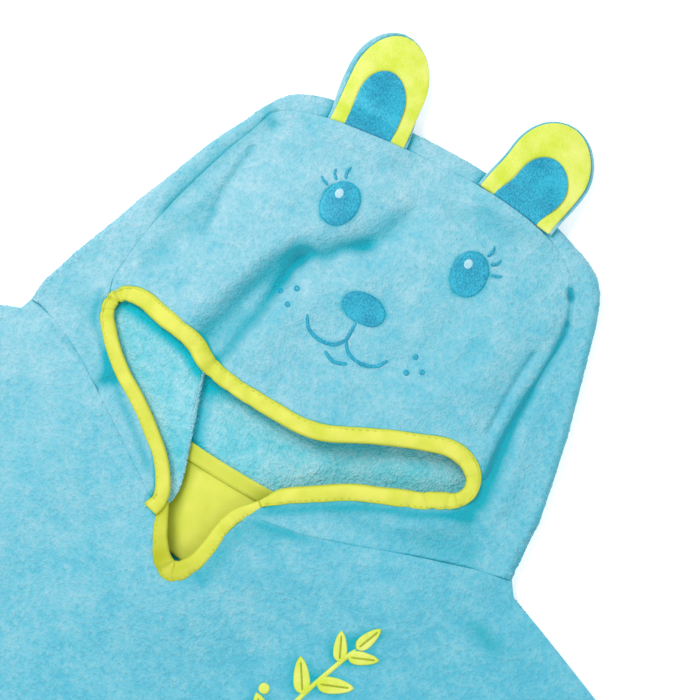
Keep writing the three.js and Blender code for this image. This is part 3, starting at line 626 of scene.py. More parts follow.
class Finish:
    """A new material, with short ways to add nodes; an input takes a value or another node's output."""

    def __init__(self, name):
        self.material = bpy.data.materials.new(name)
        self.material.use_nodes = True
        self.tree = self.material.node_tree

    def fill(self, node, inputs):
        for key, value in inputs.items():
            if isinstance(value, bpy.types.NodeSocket):
                self.tree.links.new(value, node.inputs[key])
            else:
                node.inputs[key].default_value = value

    def node(self, kind, inputs, **settings):
        node = self.tree.nodes.new("ShaderNode" + kind)
        for key, value in settings.items():
            setattr(node, key, value)
        self.fill(node, inputs)
        return node

    def place(self, kind="Object"):
        return self.node("TexCoord", {}).outputs[kind]

    def noise(self, place, scale, detail, roughness=0.5):
        inputs = {"Vector": place, "Scale": scale, "Detail": detail, "Roughness": roughness}
        return self.node("TexNoise", inputs).outputs["Fac"]

    def math(self, operation, *values):
        return self.node("Math", dict(enumerate(values)), operation=operation).outputs[0]

    def spread(self, value, low, high, new_low=0.0, new_high=1.0):
        inputs = {"Value": value, "From Min": low, "From Max": high, "To Min": new_low, "To Max": new_high}
        return self.node("MapRange", inputs).outputs["Result"]

    def ramp(self, value, *stops):
        """Colours along a value, given as places and eight-bit colours."""
        node = self.node("ValToRGB", {"Fac": value})
        elements = node.color_ramp.elements
        elements[0].position, elements[0].color = stops[0][0], linear(stops[0][1])
        elements[1].position, elements[1].color = stops[-1][0], linear(stops[-1][1])
        for position, colour in stops[1:-1]:
            elements.new(position).color = linear(colour)
        return node.outputs["Color"]

    def mixed(self, share, first, second):
        return self.node("Mix", {0: share, 6: first, 7: second}, data_type="RGBA").outputs[2]

    def with_painted_shade(self, colour, deep, start, full):
        """The colour, which turns into a deep one, painted shade, where the pieces' own attribute says they
        are hidden from the light.
        """
        painted_shade = self.node("Attribute", {}, attribute_name="painted_shade").outputs["Fac"]
        return self.mixed(self.spread(painted_shade, start, full), colour, linear(deep))

    def bump(self, height, strength, distance):
        inputs = {"Height": height, "Strength": strength, "Distance": distance}
        return self.node("Bump", inputs).outputs["Normal"]

    def surface(self, inputs):
        self.fill(self.tree.nodes["Principled BSDF"], inputs)
        return self.material


def towelling(
    name, stops, deep, hidden=(0.05, 0.5), loop_size=1.6, relief=1.0, shade=0.0, painted_light_span=0.175
):
    """Looped terry: pale loop tips with painted shade between them, cloudy patches of pile, and painted light
    that grows paler towards the upper left.
    """
    finish = Finish(name)
    place = finish.place()
    clouds = finish.noise(place, 60.0, 3.0, 0.6)
    tufts = finish.noise(place, 290.0, 2.0, 0.6)
    loops = finish.node("TexVoronoi", {"Vector": place, "Scale": 1000.0 / loop_size})
    # Painted light: the towelling's colour grows paler towards the upper left of the hood, the side of the
    # key light.
    slope = finish.node("VectorMath", {0: place, 1: (-0.817, 0.575, 0)}, operation="DOT_PRODUCT")
    painted_light_gradient = finish.spread(slope.outputs["Value"], -0.14, 0.14, -shade, painted_light_span - shade)
    tips = finish.math("SUBTRACT", 0.75, loops.outputs["Distance"])
    tone = finish.math("MULTIPLY_ADD", clouds, 0.42, painted_light_gradient)
    tone = finish.math("MULTIPLY_ADD", tufts, 0.36, tone)
    # The loops' height also sets the colour: painted light on their tips and painted shade between them.
    tone = finish.math("MULTIPLY_ADD", tips, 0.085 * relief, tone)
    height = finish.math("MULTIPLY_ADD", tufts, 2.4, tips)
    # Base colour: the deep colour comes in as painted shade where the pieces' attribute says they are hidden
    # from the light.
    return finish.surface({
        "Base Color": finish.with_painted_shade(finish.ramp(tone, *stops), deep, *hidden),
        "Normal": finish.bump(height, 0.62, 0.001 * relief),
        "Roughness": 0.95, "Specular IOR Level": 0.12, "Sheen Weight": 0.3, "Sheen Roughness": 0.55,
    })


def smooth_cotton(name, light, middle, deep, crease=0.35, hidden=(0.1, 0.75), painted_edge_shade=None):
    """Smooth knitted cotton of the bindings and the facing, with fine ribs and soft creases.

    The folded argument is the colour of painted shade along both turned edges of a binding, whose UV map runs
    round it."""
    finish = Finish(name)
    place = finish.place()
    creases = finish.noise(place, 75.0, 3.0)
    ribs = finish.noise(place, 900.0, 2.0)
    tone = finish.math("MULTIPLY_ADD", ribs, 0.12, creases)
    # Painted shade and light: the colour is darker in the bump's creases and lighter over them.
    colour = finish.ramp(tone, (0.38, middle), (0.7, light))
    # Painted shade along both turned edges of the binding.
    if painted_edge_shade:
        around = finish.node("SeparateXYZ", {0: finish.place("UV")}).outputs["Y"]
        side = finish.math("ABSOLUTE", finish.math("COSINE", finish.math("MULTIPLY", around, 2 * math.pi)))
        side = finish.math("ADD", side, finish.math("MULTIPLY", creases, 0.3))
        colour = finish.mixed(finish.spread(side, 0.62, 1.12, 0.0, 0.85), colour, linear(painted_edge_shade))
    height = finish.math("MULTIPLY_ADD", ribs, 0.15, creases)
    # Base colour: the deep colour comes in as painted shade where the pieces' attribute says they are hidden
    # from the light.
    return finish.surface({
        "Base Color": finish.with_painted_shade(colour, deep, *hidden),
        "Normal": finish.bump(height, crease, 0.0022),
        "Roughness": 0.68, "Specular IOR Level": 0.3, "Sheen Weight": 0.15,
    })


def stitched_thread(name, light, deep, turn, pitch=0.8, speckle=0.6):
    """Close rows of glossy thread, laid in one direction, with uneven ends; the colour turns deeper as
    painted shade where the pieces' attribute says they are hidden from the light.
    """
    finish = Finish(name)
    place = finish.place()
    turned = {"Vector": place, "Rotation": (0, 0, turn), "Scale": (1.0, 0.45, 1.0)}
    rows = finish.noise(finish.node("Mapping", turned).outputs["Vector"], 1000.0 / pitch, 1.0)
    shades = finish.noise(place, 70.0, 2.0)
    tone = finish.math("MULTIPLY_ADD", rows, speckle, finish.math("MULTIPLY", shades, 1 - speckle))
    colour = finish.ramp(tone, (0.36, deep), (0.64, light))
    # Base colour: a darker deep colour comes in as painted shade where the pieces' attribute says they are
    # hidden from the light.
    return finish.surface({
        "Base Color": finish.with_painted_shade(colour, tuple(part * 0.8 for part in deep), 0.15, 0.8),
        "Normal": finish.bump(rows, 0.6, 0.0005),
        "Roughness": 0.42, "Specular IOR Level": 0.4,
    })


PALE_TONES = [
    (0.4, (88, 187, 212)), (0.5, (110, 196, 217)), (0.6, (132, 202, 220)), (0.7, (152, 209, 225)),
    (0.82, (178, 218, 231)),
]
# Paler tones for the cloth inside the hood and the tuck's edge: painted light, a lit copy of the towelling
# for the shaded inside.
PAINTED_LIGHT_INSIDE_TONES = [
    (0.4, (72, 192, 216)), (0.5, (108, 206, 224)), (0.6, (138, 214, 231)), (0.72, (168, 224, 237)),
    (0.84, (198, 234, 243)),
]
FINISHES = {}


def make_finishes():
    # Each finish's deep colour is painted shade, which the pieces' attribute brings out where they are hidden
    # from the light.
    return {
        "hood": towelling("hood towelling", PALE_TONES, (14, 172, 192), shade=-0.07),
        "body": towelling("body towelling", PALE_TONES, (14, 172, 192), shade=-0.05),
        # The inside and the tuck's edge are paler copies of the towelling, painted light in the shaded inside
        # of the hood.
        "inside": towelling(
            "inside towelling", PAINTED_LIGHT_INSIDE_TONES, (0, 190, 214), hidden=(0.42, 0.9), loop_size=1.5,
            relief=1.15, shade=-0.14, painted_light_span=0.05,
        ),
        "edge": towelling("tuck's edge towelling", PAINTED_LIGHT_INSIDE_TONES, (0, 174, 198), shade=-0.14),
        "lime": smooth_cotton(
            "lime binding", (228, 230, 98), (212, 220, 74), (176, 184, 14), painted_edge_shade=(190, 202, 46)
        ),
        "facing": smooth_cotton(
            "lime facing", (226, 230, 96), (216, 224, 82), (150, 168, 0), crease=0.2, hidden=(0.3, 0.95)
        ),
        "satin": stitched_thread(
            "lime satin stitch", (234, 241, 126), (208, 227, 56), 0.2, pitch=0.6, speckle=0.3
        ),
        "teal": stitched_thread(
            "teal filling stitch", (52, 192, 220), (0, 134, 172), -0.5, pitch=0.6, speckle=0.65
        ),
        "pale_thread": stitched_thread("pale thread", (196, 228, 238), (160, 212, 228), 0.4),
        "lime_thread": stitched_thread("lime sewing thread", (214, 220, 76), (190, 198, 50), 0),
        "aqua_thread": stitched_thread("aqua sewing thread", (120, 200, 222), (90, 180, 206), 0),
        "olive_thread": stitched_thread("olive thread", (178, 190, 40), (150, 164, 20), 0.6),
    }


def finish_of(name):
    """The garment's finishes, each made once."""
    if not FINISHES:
        FINISHES.update(make_finishes())
    return FINISHES[name]


# Hood sections, as on the solid: below, round the fold and over to the inner edge

SPINE_STEPS = 16
SPINE_TOP = 113.0


def hood_stations():
    last = len(OPENING_BINDING) - 1
    stations = []
    for row in range(LEFT_CORNER_ROW + 1):
        inner = front_neck("left", 1) if row == 0 else bound_edge(row)
        stations.append(("left", curve_point(LEFT_CHEEK_OUTLINE, row / LEFT_CORNER_ROW), inner))
    for outline_x, outline_y, seam_x, seam_y in FACE_SEAM:
        side = "left" if outline_x < 0 else "right"
        stations.append((side, (outline_x, outline_y), (seam_x, seam_y)))
    for row in range(RIGHT_CORNER_ROW, last + 2):
        inner = front_neck("right", 1) if row > last else bound_edge(row)
        t = (row - RIGHT_CORNER_ROW) / (last + 1 - RIGHT_CORNER_ROW)
        stations.append(("right", curve_point(RIGHT_CHEEK_OUTLINE, t), inner))
    rows = []
    for i, (side, outline, inner) in enumerate(stations):
        from_neck = min(i, len(stations) - 1 - i, SPINE_STEPS)
        spine_y = mix(back_neck_y(0) + GAP, SPINE_TOP, from_neck / SPINE_STEPS)
        rows.append((*outline, *inner, spine_y, 1 - smooth(0, 9, from_neck)))
    return rows


HOOD_STATIONS = hood_stations()
BELOW_END, ARC_END = 0.28, 0.39  # shares of the section that lie below and go round the fold
KNOWN_STATIONS = {}


def station_at(s):
    key = round(s, 6)
    if key not in KNOWN_STATIONS:
        KNOWN_STATIONS[key] = curve_point(HOOD_STATIONS, s)
    return KNOWN_STATIONS[key]


def hood_point(s, t, outer):
    """A point of the hood's back: s runs round the hood, t from the spine round the fold to the seam."""
    out_x, out_y, in_x, in_y, spine_y, neck_share = station_at(s)
    side = "left" if out_x < 0 else "right"
    corner = hood_corner(side == "left")
    inner_y = FRONT_NECK[side][1]
    reach = math.hypot(in_x - out_x, in_y - out_y)
    top_start = FOLD_RADIUS / reach
    below_start = FOLD_RADIUS / math.hypot(out_x, spine_y - out_y)

    def over(a):
        bend = front_neck(side, a)[1] - mix(corner[1], inner_y, a)
        return (mix(out_x, in_x, a), mix(out_y, in_y, a) + bend * neck_share)

    def below(a):
        bend = back_neck_y(mix(corner[0], 0, a)) + GAP - mix(corner[1], back_neck_y(0) + GAP, a)
        return (mix(out_x, 0, a), mix(out_y, spine_y, a) + bend * neck_share)

    if t <= BELOW_END:
        x, y = below(mix(1, below_start, t / BELOW_END))
        return (x, y, 0.0 if outer else TERRY + fold_lift(INSIDE_FOLDS, x, y))
    if t <= ARC_END:
        angle = math.pi * (t - BELOW_END) / (ARC_END - BELOW_END)
        wobble = HOOD_PILE * noise.noise(Vector((out_x / 4, out_y / 4, angle * 2))) if outer else 0
        radius = (FOLD_RADIUS if outer else FOLD_RADIUS - TERRY) + wobble
        inward = (FOLD_RADIUS - radius * math.sin(angle)) / FOLD_RADIUS
        share = smooth(0, FOLD_TURN_SHARE, angle / math.pi)
        x, y = mix_points(below(below_start * inward), over(top_start * inward), share)
        return (x, y, max(0.0, FOLD_RADIUS - radius * math.cos(angle)))
    a = mix(top_start, 1, (t - ARC_END) / (1 - ARC_END))
    x, y = over(a)
    lift = smooth(0, FOLD_RISE_SHARE, (a - top_start) / (1 - top_start))
    z = mix(2 * FOLD_RADIUS - TERRY, creased_lift(x, y), lift)
    neck_way = min(s, 1 - s) * (len(HOOD_STATIONS) - 1)
    neck_dip = rounded(neck_way * 5, 5, 0.4) if neck_way < 1 else 1.0
    seam = rounded((1 - a) * reach, 3, 0.3) * neck_dip
    if outer:
        bump = HOOD_PILE * pile_noise(x, y, 0) * smooth(0, 0.15, a - top_start)
        return (x, y, z + TERRY * (0.45 + 0.55 * seam) + bump * seam)
    return (x, y, z + TERRY * 0.2 * (1 - seam))


def hood_back_shell(columns, rows):
    """The hood's back as a thin shell on its solid."""
    bm = grid_shell(columns, rows, hood_point, inside_index=1)
    bmesh.ops.remove_doubles(bm, verts=bm.verts[:], dist=0.00001)
    inside = [face for face in bm.faces if all(abs(vert.co.x) < 0.00001 for vert in face.verts)]
    bmesh.ops.delete(bm, geom=inside, context="FACES_ONLY")
    return bm


def face_panel_plan():
    seam = moved_aside([(x, y) for _, _, x, y in FACE_SEAM], PANEL_OVERLAP)
    left = seam[: LEFT_DIMPLE_ROW + 1]
    top = seam[LEFT_DIMPLE_ROW : RIGHT_DIMPLE_ROW + 1]
    right = list(reversed(seam[RIGHT_DIMPLE_ROW:]))
    brow = [bound_edge(row) for row in range(LEFT_CORNER_ROW, RIGHT_CORNER_ROW + 1)]
    bottom = [left[0]] + brow + [right[0]]

    def plan(u, v):
        b, t = curve_point(bottom, u), curve_point(top, u)
        l, r = curve_point(left, v), curve_point(right, v)
        result = []
        for k in (0, 1):
            corners = (1 - u) * (1 - v) * bottom[0][k] + u * (1 - v) * bottom[-1][k]
            corners += (1 - u) * v * top[0][k] + u * v * top[-1][k]
            result.append(mix(b[k], t[k], v) + mix(l[k], r[k], u) - corners)
        return tuple(result)

    return lambda u, v: plan(eased(u, 0.4), eased(v, 0.4))


def tuck_plan(u, v):
    outer = curve_point([(x, y) for _, _, x, y in TUCK_EDGE], v)
    inner = curve_point([(x, y) for x, y, _, _ in TUCK_EDGE], v)
    return mix_points(outer, inner, 1 - (1 - u) ** TUCK_CURVE)


def tuck_under(x, y):
    return mix(TERRY + GAP, TUCK_OVER_TAPE, smooth(*TUCK_OFF_TAPE, y - back_neck_y(x)))


def tuck_share(u):
    """How much of its full thickness the tuck has, which grows from its folded edge."""
    return rounded((1 - u) * TUCK_SPAN, TUCK_ROUNDING, TUCK_THINNESS)


def tuck_top(u, x, y):
    low = tuck_under(x, y)
    return low + (TUCK_TOP - low) * tuck_share(u)


def body_plan(top, power):
    def plan(u, v):
        upper = chain_point(top, u)
        hem_x = mix(-BODY_HALF_WIDTH, BODY_HALF_WIDTH, u)
        hem = HEM_Y + HEM_ROUNDING * (1 - min(1.0, min(u, 1 - u) / HEM_CORNER_SHARE)) ** 2
        rise = 1 - (1 - v) ** power
        return (mix(hem_x, upper[0], rise), mix(hem, upper[1], rise))

    return plan


def swept_band(path, steps, around, lift_at, shape):
    """A soft band along a path; lift_at gives its middle's height, shape(t, angle, half) across and up."""
    bm = flat_grid(steps, around)
    for vert in bm.verts:
        t, angle = vert.co.x + 0.5, (vert.co.y + 0.5) * 2 * math.pi
        middle = curve_point(path, t)
        across, up = shape(t, angle, middle[2] / 2)
        x, y = beside(path, t, across)
        vert.co = Vector((x, y, lift_at(middle[0], middle[1]) + up)) * MM
    bmesh.ops.remove_doubles(bm, verts=bm.verts[:], dist=0.000002)
    ends = [edge for edge in bm.edges if edge.is_boundary]
    bmesh.ops.holes_fill(bm, edges=ends, sides=0)
    return bm


def band_shape(length, pucker, creases, cloth_side):
    """Cross section of a folded binding, drawn in along its stitching and creased across."""
    def shape(t, angle, half):
        c, s = math.cos(angle), math.sin(angle)
        across = half * math.copysign(abs(c) ** 0.6, c)
        up = BINDING_THICKNESS / 2 * math.copysign(abs(s) ** 0.8, s)
        along = t * length
        closed = rounded(min(along, length - along), 2.2, 0.12)
        ripple = noise.noise(Vector((along / 9, c * 0.8, 3.0)))
        gather = noise.noise(Vector((along / 4.5, c * 1.1, 9.0))) * pucker
        depth = sum(
            deep * math.exp(-((along + c * lean - place) / wide) ** 2) for place, deep, wide, lean in creases
        )
        if s > 0:
            stitched = math.exp(-((across - cloth_side * (half - SEAM_INSET)) / 0.8) ** 2)
            up *= 1 + gather - 0.22 * stitched - depth
            up += 0.4 * ripple
        up = mix(-BINDING_THICKNESS * 0.2, up, closed)
        return across * (1 + 0.045 * ripple - 0.25 * min(1.0, depth)) * mix(0.85, 1, closed), up

    return shape


def path_length(points):
    return sum(math.hypot(b[0] - a[0], b[1] - a[1]) for a, b in zip(points, points[1:]))


def merged(parts):
    """One mesh of several; the parts are used up."""
    whole = bmesh.new()
    for part in parts:
        mesh = new_mesh("part", part)
        whole.from_mesh(mesh)
        bpy.data.meshes.remove(mesh)
    return whole


def stitch_row(places, length, width):
    """Small rounded stitches, one at each place, along the run of the places."""
    parts = []
    for i in range(0, len(places), 40):
        part = bmesh.new()
        for j in range(i, min(i + 40, len(places))):
            a, b = places[max(0, j - 1)], places[min(len(places) - 1, j + 1)]
            turn = math.atan2(b[1] - a[1], b[0] - a[0])
            size = Matrix.Diagonal((length * MM, width * MM, width * 0.7 * MM, 1))
            matrix = Matrix.Translation(Vector(places[j]) * MM) @ Matrix.Rotation(turn, 4, "Z") @ size
            bmesh.ops.create_uvsphere(part, u_segments=6, v_segments=4, radius=0.5, matrix=matrix)
        parts.append(part)
    return merged(parts)


def loops_at(places, chance):
    """Small loops of pile as uneven grains."""
    parts = []
    for i in range(0, len(places), 100):
        part = bmesh.new()
        for place, radius in places[i : i + 100]:
            turn = Matrix.Rotation(chance.uniform(0, math.pi), 4, "Z")
            size = Matrix.Diagonal((radius * 1.25 * MM, radius * 0.8 * MM, radius * MM, 1))
            place = (place[0], place[1], max(place[2], radius))
            matrix = Matrix.Translation(Vector(place) * MM) @ turn @ size
            bmesh.ops.create_icosphere(part, subdivisions=1, radius=1.0, matrix=matrix)
        parts.append(part)
    return merged(parts)


def oval(x, y, half_width, half_height, tilt):
    """A centre and a border at each angle round it."""
    def border(angle):
        a, b = half_width * math.cos(angle), half_height * math.sin(angle)
        return (x + a * math.cos(tilt) - b * math.sin(tilt), y + a * math.sin(tilt) + b * math.cos(tilt))

    return (x, y), border


def leaf(x, y, angle, length):
    middle = (x + math.cos(angle) * length / 2, y + math.sin(angle) * length / 2)

    def border(turn):
        along = math.cos(turn)
        across = math.sin(turn) * 0.42 * (1 - 0.35 * along) * (1 - along ** 8 * 0.6)
        a, b = along * length / 2, across * length / 2
        return (
            middle[0] + a * math.cos(angle) - b * math.sin(angle),
            middle[1] + a * math.sin(angle) + b * math.cos(angle),
        )

    return middle, border


def nose_border(angle):
    """A rounded shape, wide above and narrow below."""
    widen = 1 + 0.28 * math.sin(angle)
    return (6 + 13.5 * widen * math.cos(angle), 98 + 9.5 * math.sin(angle) - 1.5 * math.cos(2 * angle))


NOSE = ((6, 98), nose_border)


def thread_patch(form, cells, lift_at, height):
    """A raised patch of stitching that follows the cloth below it."""
    centre, border = form

    def place(u, v, upper):
        a, b = 2 * eased(u, 0.3) - 1, 2 * eased(v, 0.3) - 1
        c, s = a * math.sqrt(1 - b * b / 2), b * math.sqrt(1 - a * a / 2)
        share = min(1.0, math.hypot(c, s))
        edge = border(math.atan2(s, c))
        x, y = mix(centre[0], edge[0], share), mix(centre[1], edge[1], share)
        radius = math.hypot(edge[0] - centre[0], edge[1] - centre[1])
        rise = rounded((1 - share) * radius, 1.4, 0.1)
        z = lift_at(x, y) + (mix(-0.6, height, rise) if upper else -0.8)
        return (x, y, z)

    return grid_shell(cells, cells, place)


def thread_line(points, lift_at):
    """A raised line of satin stitch through points of x, y and width."""
    def shape(t, angle, half):
        taper = math.sqrt(max(0.04, 1 - (2 * t - 1) ** 8))
        return half * taper * math.cos(angle), 0.85 * taper * math.sin(angle)

    steps = max(8, int(path_length(points) / 1.1))
    return swept_band(points, steps, 8, lift_at, shape)


def ear_lift(y):
    for (y0, z0), (y1, z1) in zip(EAR_LIFT, EAR_LIFT[1:]):
        if y <= y1:
            return mix(z0, z1, max(0.0, (y - y0) / (y1 - y0)))
    return EAR_LIFT[-1][1]


def ear_plan(ear, width_scale, length_scale, shift):
    def plan(u, v):
        across = 2 * eased(u, 0.5) - 1
        length = (ear["tip"][1] - ear["base"][1]) * length_scale
        t = 1 - (1 - v) ** 1.5
        taper = 1 if t < 0.5 else math.sqrt(max(0.02, 1 - ((t - 0.5) / 0.5) ** 2))
        half = ear["half"] * width_scale * taper
        bend = curve_point([(ear["base"][0], 0), (ear["mid"], 0), (ear["tip"][0], 0)], t)[0]
        slope = across * ear["half"] * width_scale * math.sin(ear["turn"]) * (1 - t)
        return (bend + shift * smooth(0, 0.4, t) + across * half, ear["base"][1] + slope + length * t)

    return plan


class PonchoCloth(bpy.types.PropertyGroup):
    pile_height: bpy.props.FloatProperty(
        name="Pile height",
        description="How uneven the pile of the towelling stands",
        default=0.00045, min=0.0, max=0.002, subtype="DISTANCE", unit="LENGTH",
    )
    pucker: bpy.props.FloatProperty(
        name="Pucker",
        description="How much the stitching gathers the bindings",
        default=0.16, min=0.0, max=0.5, subtype="FACTOR",
    )


class PonchoStage(bpy.types.PropertyGroup):
    key_power: bpy.props.FloatProperty(
        name="Key light", description="Power of the soft light above the hood", default=26.0, unit="POWER",
    )
    fill_power: bpy.props.FloatProperty(
        name="Fill light", description="Power of the light from the other side", default=9.0, unit="POWER",
    )
    world_strength: bpy.props.FloatProperty(
        name="Room light", description="Strength of the even light all round", default=0.62, min=0.0, max=3.0,
    )


class PONCHO_OT_stage(bpy.types.Operator):
    """Camera, pale floor and soft studio light"""

    bl_idname = "poncho.stage"
    bl_label = "Stage"

    def execute(self, context):
        settings = context.scene.poncho_stage
        scene = context.scene
        camera = new_object("camera", bpy.data.cameras.new("camera"))
        camera.location = VIEW_CENTRE + Vector((0, 0, CAMERA_HEIGHT))
        camera.rotation_euler = (0, 0, math.radians(VIEW_TURN))
        camera.data.sensor_width = SENSOR_WIDTH
        camera.data.lens = SENSOR_WIDTH * VIEW_DISTANCE / VIEW_WIDTH
        scene.camera = camera

        bm = bmesh.new()
        bmesh.ops.create_grid(bm, x_segments=2, y_segments=2, size=3.0)
        bmesh.ops.translate(bm, verts=bm.verts[:], vec=(0, 0, -0.0005))
        floor = new_object("floor", new_mesh("floor", bm))
        floor.data.materials.append(Finish("pale floor").surface({
            "Base Color": (0.93, 0.93, 0.93, 1), "Roughness": 0.9,
            "Emission Color": (1, 1, 1, 1), "Emission Strength": 0.35,
        }))

        for name, along, across, height, size, power in (
            ("key light", 1.1, -0.95, 1.7, 0.9, settings.key_power),
            ("fill light", -1.2, 0.9, 1.6, 1.6, settings.fill_power),
        ):
            light = new_object(name, bpy.data.lights.new(name, "AREA"))
            light.data.shape = "DISK"
            light.data.size = size
            light.data.energy = power
            spot = VIEW_CENTRE + VIEW_UP * along + VIEW_RIGHT * across + Vector((0, 0, height))
            light.location = spot
            light.rotation_euler = (VIEW_CENTRE - spot).to_track_quat("-Z", "Y").to_euler()
        world = bpy.data.worlds.new("room light")
        world.use_nodes = True
        background = world.node_tree.nodes["Background"]
        background.inputs["Color"].default_value = (1, 1, 1, 1)
        background.inputs["Strength"].default_value = settings.world_strength
        scene.world = world
        scene.view_settings.view_transform = "Standard"
        return {"FINISHED"}


class PONCHO_OT_body(bpy.types.Operator):
    """Back and front panel of the body"""

    bl_idname = "poncho.body"
    bl_label = "Body"

    def execute(self, context):
        pile = context.scene.poncho_cloth.pile_height / MM
        shares = [i / SHOULDER_STEPS for i in range(SHOULDER_STEPS + 1)]
        left = [shoulder_point("left", share) for share in reversed(shares)]
        right = [shoulder_point("right", share) for share in shares]
        back_neck = []
        for i in range(-12, 13):
            x = abs(i) / 12 * hood_corner(i < 0)[0]
            back_neck.append((x, back_neck_y(x)))
        back_top = left + back_neck + right
        bm = towel_layer(
            120, 90, body_plan(back_top, 1.3), lambda x, y: 0.0, TERRY, pile=pile * 0.6, flat_below=True
        )
        back = finish_piece(bm, "back_panel", "body", "body_back")

        front_top = left + NECK_EDGE + right
        bm = towel_layer(300, 150, body_plan(front_top, 1.9), body_lift, TERRY, edge=5, least=0.1, pile=pile)
        front = finish_piece(bm, "front_panel", "body", "body_front")
        return {"FINISHED"}


class PONCHO_OT_hood(bpy.types.Operator):
    """Back panel, face panel and the tuck inside the opening of the hood"""

    bl_idname = "poncho.hood"
    bl_label = "Hood"

    def execute(self, context):
        pile = context.scene.poncho_cloth.pile_height / MM
        hood = finish_piece(hood_back_shell(352, 92), "hood_panel", "hood", "hood_back", inside="inside")

        bm = towel_layer(170, 130, face_panel_plan(), panel_lift, TERRY, edge=3.2, least=0.25, pile=pile)
        face = finish_piece(bm, "face_panel", "hood", "hood_front")

        def place(u, v, upper):
            x, y = tuck_plan(u, v)
            if upper:
                return (x, y, tuck_top(u, x, y) + pile * pile_noise(x, y, 7) * tuck_share(u))
            return (x, y, tuck_under(x, y))

        tuck = finish_piece(grid_shell(60, 90, place), "tuck", "inside", "hood_tuck")
        return {"FINISHED"}


def ear_surface(ear, x, y, level):
    """Height of a layer on the ear: pressed flat where the ear is sewn in, crowned and a little wavy."""
    from_seam = y - ear["base"][1]
    across = (x - ear["mid"]) / ear["half"]
    crown = 1.3 * max(0.0, 1 - across * across) * smooth(6, 24, from_seam)
    wave = 0.5 * math.sin(y / 5.5 + x / 9) * smooth(4, 16, from_seam)
    return ear_lift(y) + level * pressed_share(from_seam) + crown + wave


class PONCHO_OT_ears(bpy.types.Operator):
    """Both ears: towelling back, lime front and teal middle"""

    bl_idname = "poncho.ears"
    bl_label = "Ears"

    def execute(self, context):
        pile = context.scene.poncho_cloth.pile_height / MM
        front_level = EAR_WALL + GAP
        middle_level = front_level + JERSEY + 2 * GAP
        for side, ear in EARS.items():
            bm = towel_layer(
                40, 60, ear_plan(ear, 1.07, 1.01, ear["border"] / 2), lambda x, y: ear_lift(y), EAR_WALL,
                edge=2.5, least=0.3, pile=pile * 0.5, press=ear["base"][1],
            )
            back = finish_piece(bm, f"ear_{side}_back", "hood", f"ear_back_{side}")
            bm = towel_layer(
                40, 60, ear_plan(ear, 1, 0.99, 0), lambda x, y: ear_surface(ear, x, y, front_level), JERSEY,
                edge=2.0, least=0.2, pile=0.12,
            )
            front = finish_piece(bm, f"ear_{side}_front", "satin", f"ear_front_{side}")
            bm = towel_layer(
                32, 44, ear_plan(ear, 0.63, 0.63, 1), lambda x, y: ear_surface(ear, x, y, middle_level),
                JERSEY * 0.6, edge=1.2, least=0.2, pile=0.08,
            )
            middle = finish_piece(bm, f"ear_{side}_middle", "teal", f"ear_middle_{side}")
        return {"FINISHED"}


def opening_middle(x, y):
    """Height of the middle of the opening's binding, which follows the creases in part."""
    return mix(hood_lift(x, y), creased_lift(x, y), 0.6) + BAND_MIDDLE


def v_middle(x, y):
    """Height of the middle of the V's binding, which goes down under both ends of the opening's."""
    right = smooth(-48, -34, y) * smooth(-6, 6, x)
    left = smooth(-76, -66, y) * smooth(-30, -36, x)
    return body_lift(x, y) - 1.6 * right - 2.4 * left + BAND_MIDDLE


class PONCHO_OT_bindings(bpy.types.Operator):
    """Lime bindings, neck tape and facing"""

    bl_idname = "poncho.bindings"
    bl_label = "Bindings"

    def execute(self, context):
        pucker = context.scene.poncho_cloth.pucker
        shape = band_shape(path_length(OPENING_SHOWN), pucker, OPENING_CREASES, 1)
        bm = swept_band(OPENING_SHOWN, 430, 26, opening_middle, shape)
        finish_piece(bm, "opening_binding", "lime", "face_binding")
        shape = band_shape(path_length(V_SHOWN), pucker, V_CREASES, -1)
        finish_piece(swept_band(V_SHOWN, 130, 26, v_middle, shape), "v_binding", "lime", "neck_binding")

        def tape_plan(u, v):
            x = mix(-TAPE_HALF_LENGTH, TAPE_HALF_LENGTH, u)
            return (x, back_neck_y(x) + mix(-TAPE_WIDTH / 2, TAPE_WIDTH / 2, v))

        bm = towel_layer(120, 8, tape_plan, lambda x, y: TERRY + JERSEY + 2 * GAP, JERSEY, edge=1, pile=0.1)
        tape = finish_piece(bm, "tape", "facing", "neck_tape")

        def facing_plan(u, v):
            angle = math.pi * (1 - u)
            x = FACING_HALF_WIDTH * math.cos(angle)
            upper = back_neck_y(x) - GAP
            return (x, mix(upper - FACING_DEPTH * math.sin(angle) - 1, upper, v))

        def facing_under(x, y):
            return TERRY + GAP + fold_lift(FACING_FOLDS, x, y)

        bm = towel_layer(120, 50, facing_plan, facing_under, JERSEY, edge=1.2, pile=0.15)
        facing = finish_piece(bm, "facing", "facing", "neck_facing")
        return {"FINISHED"}


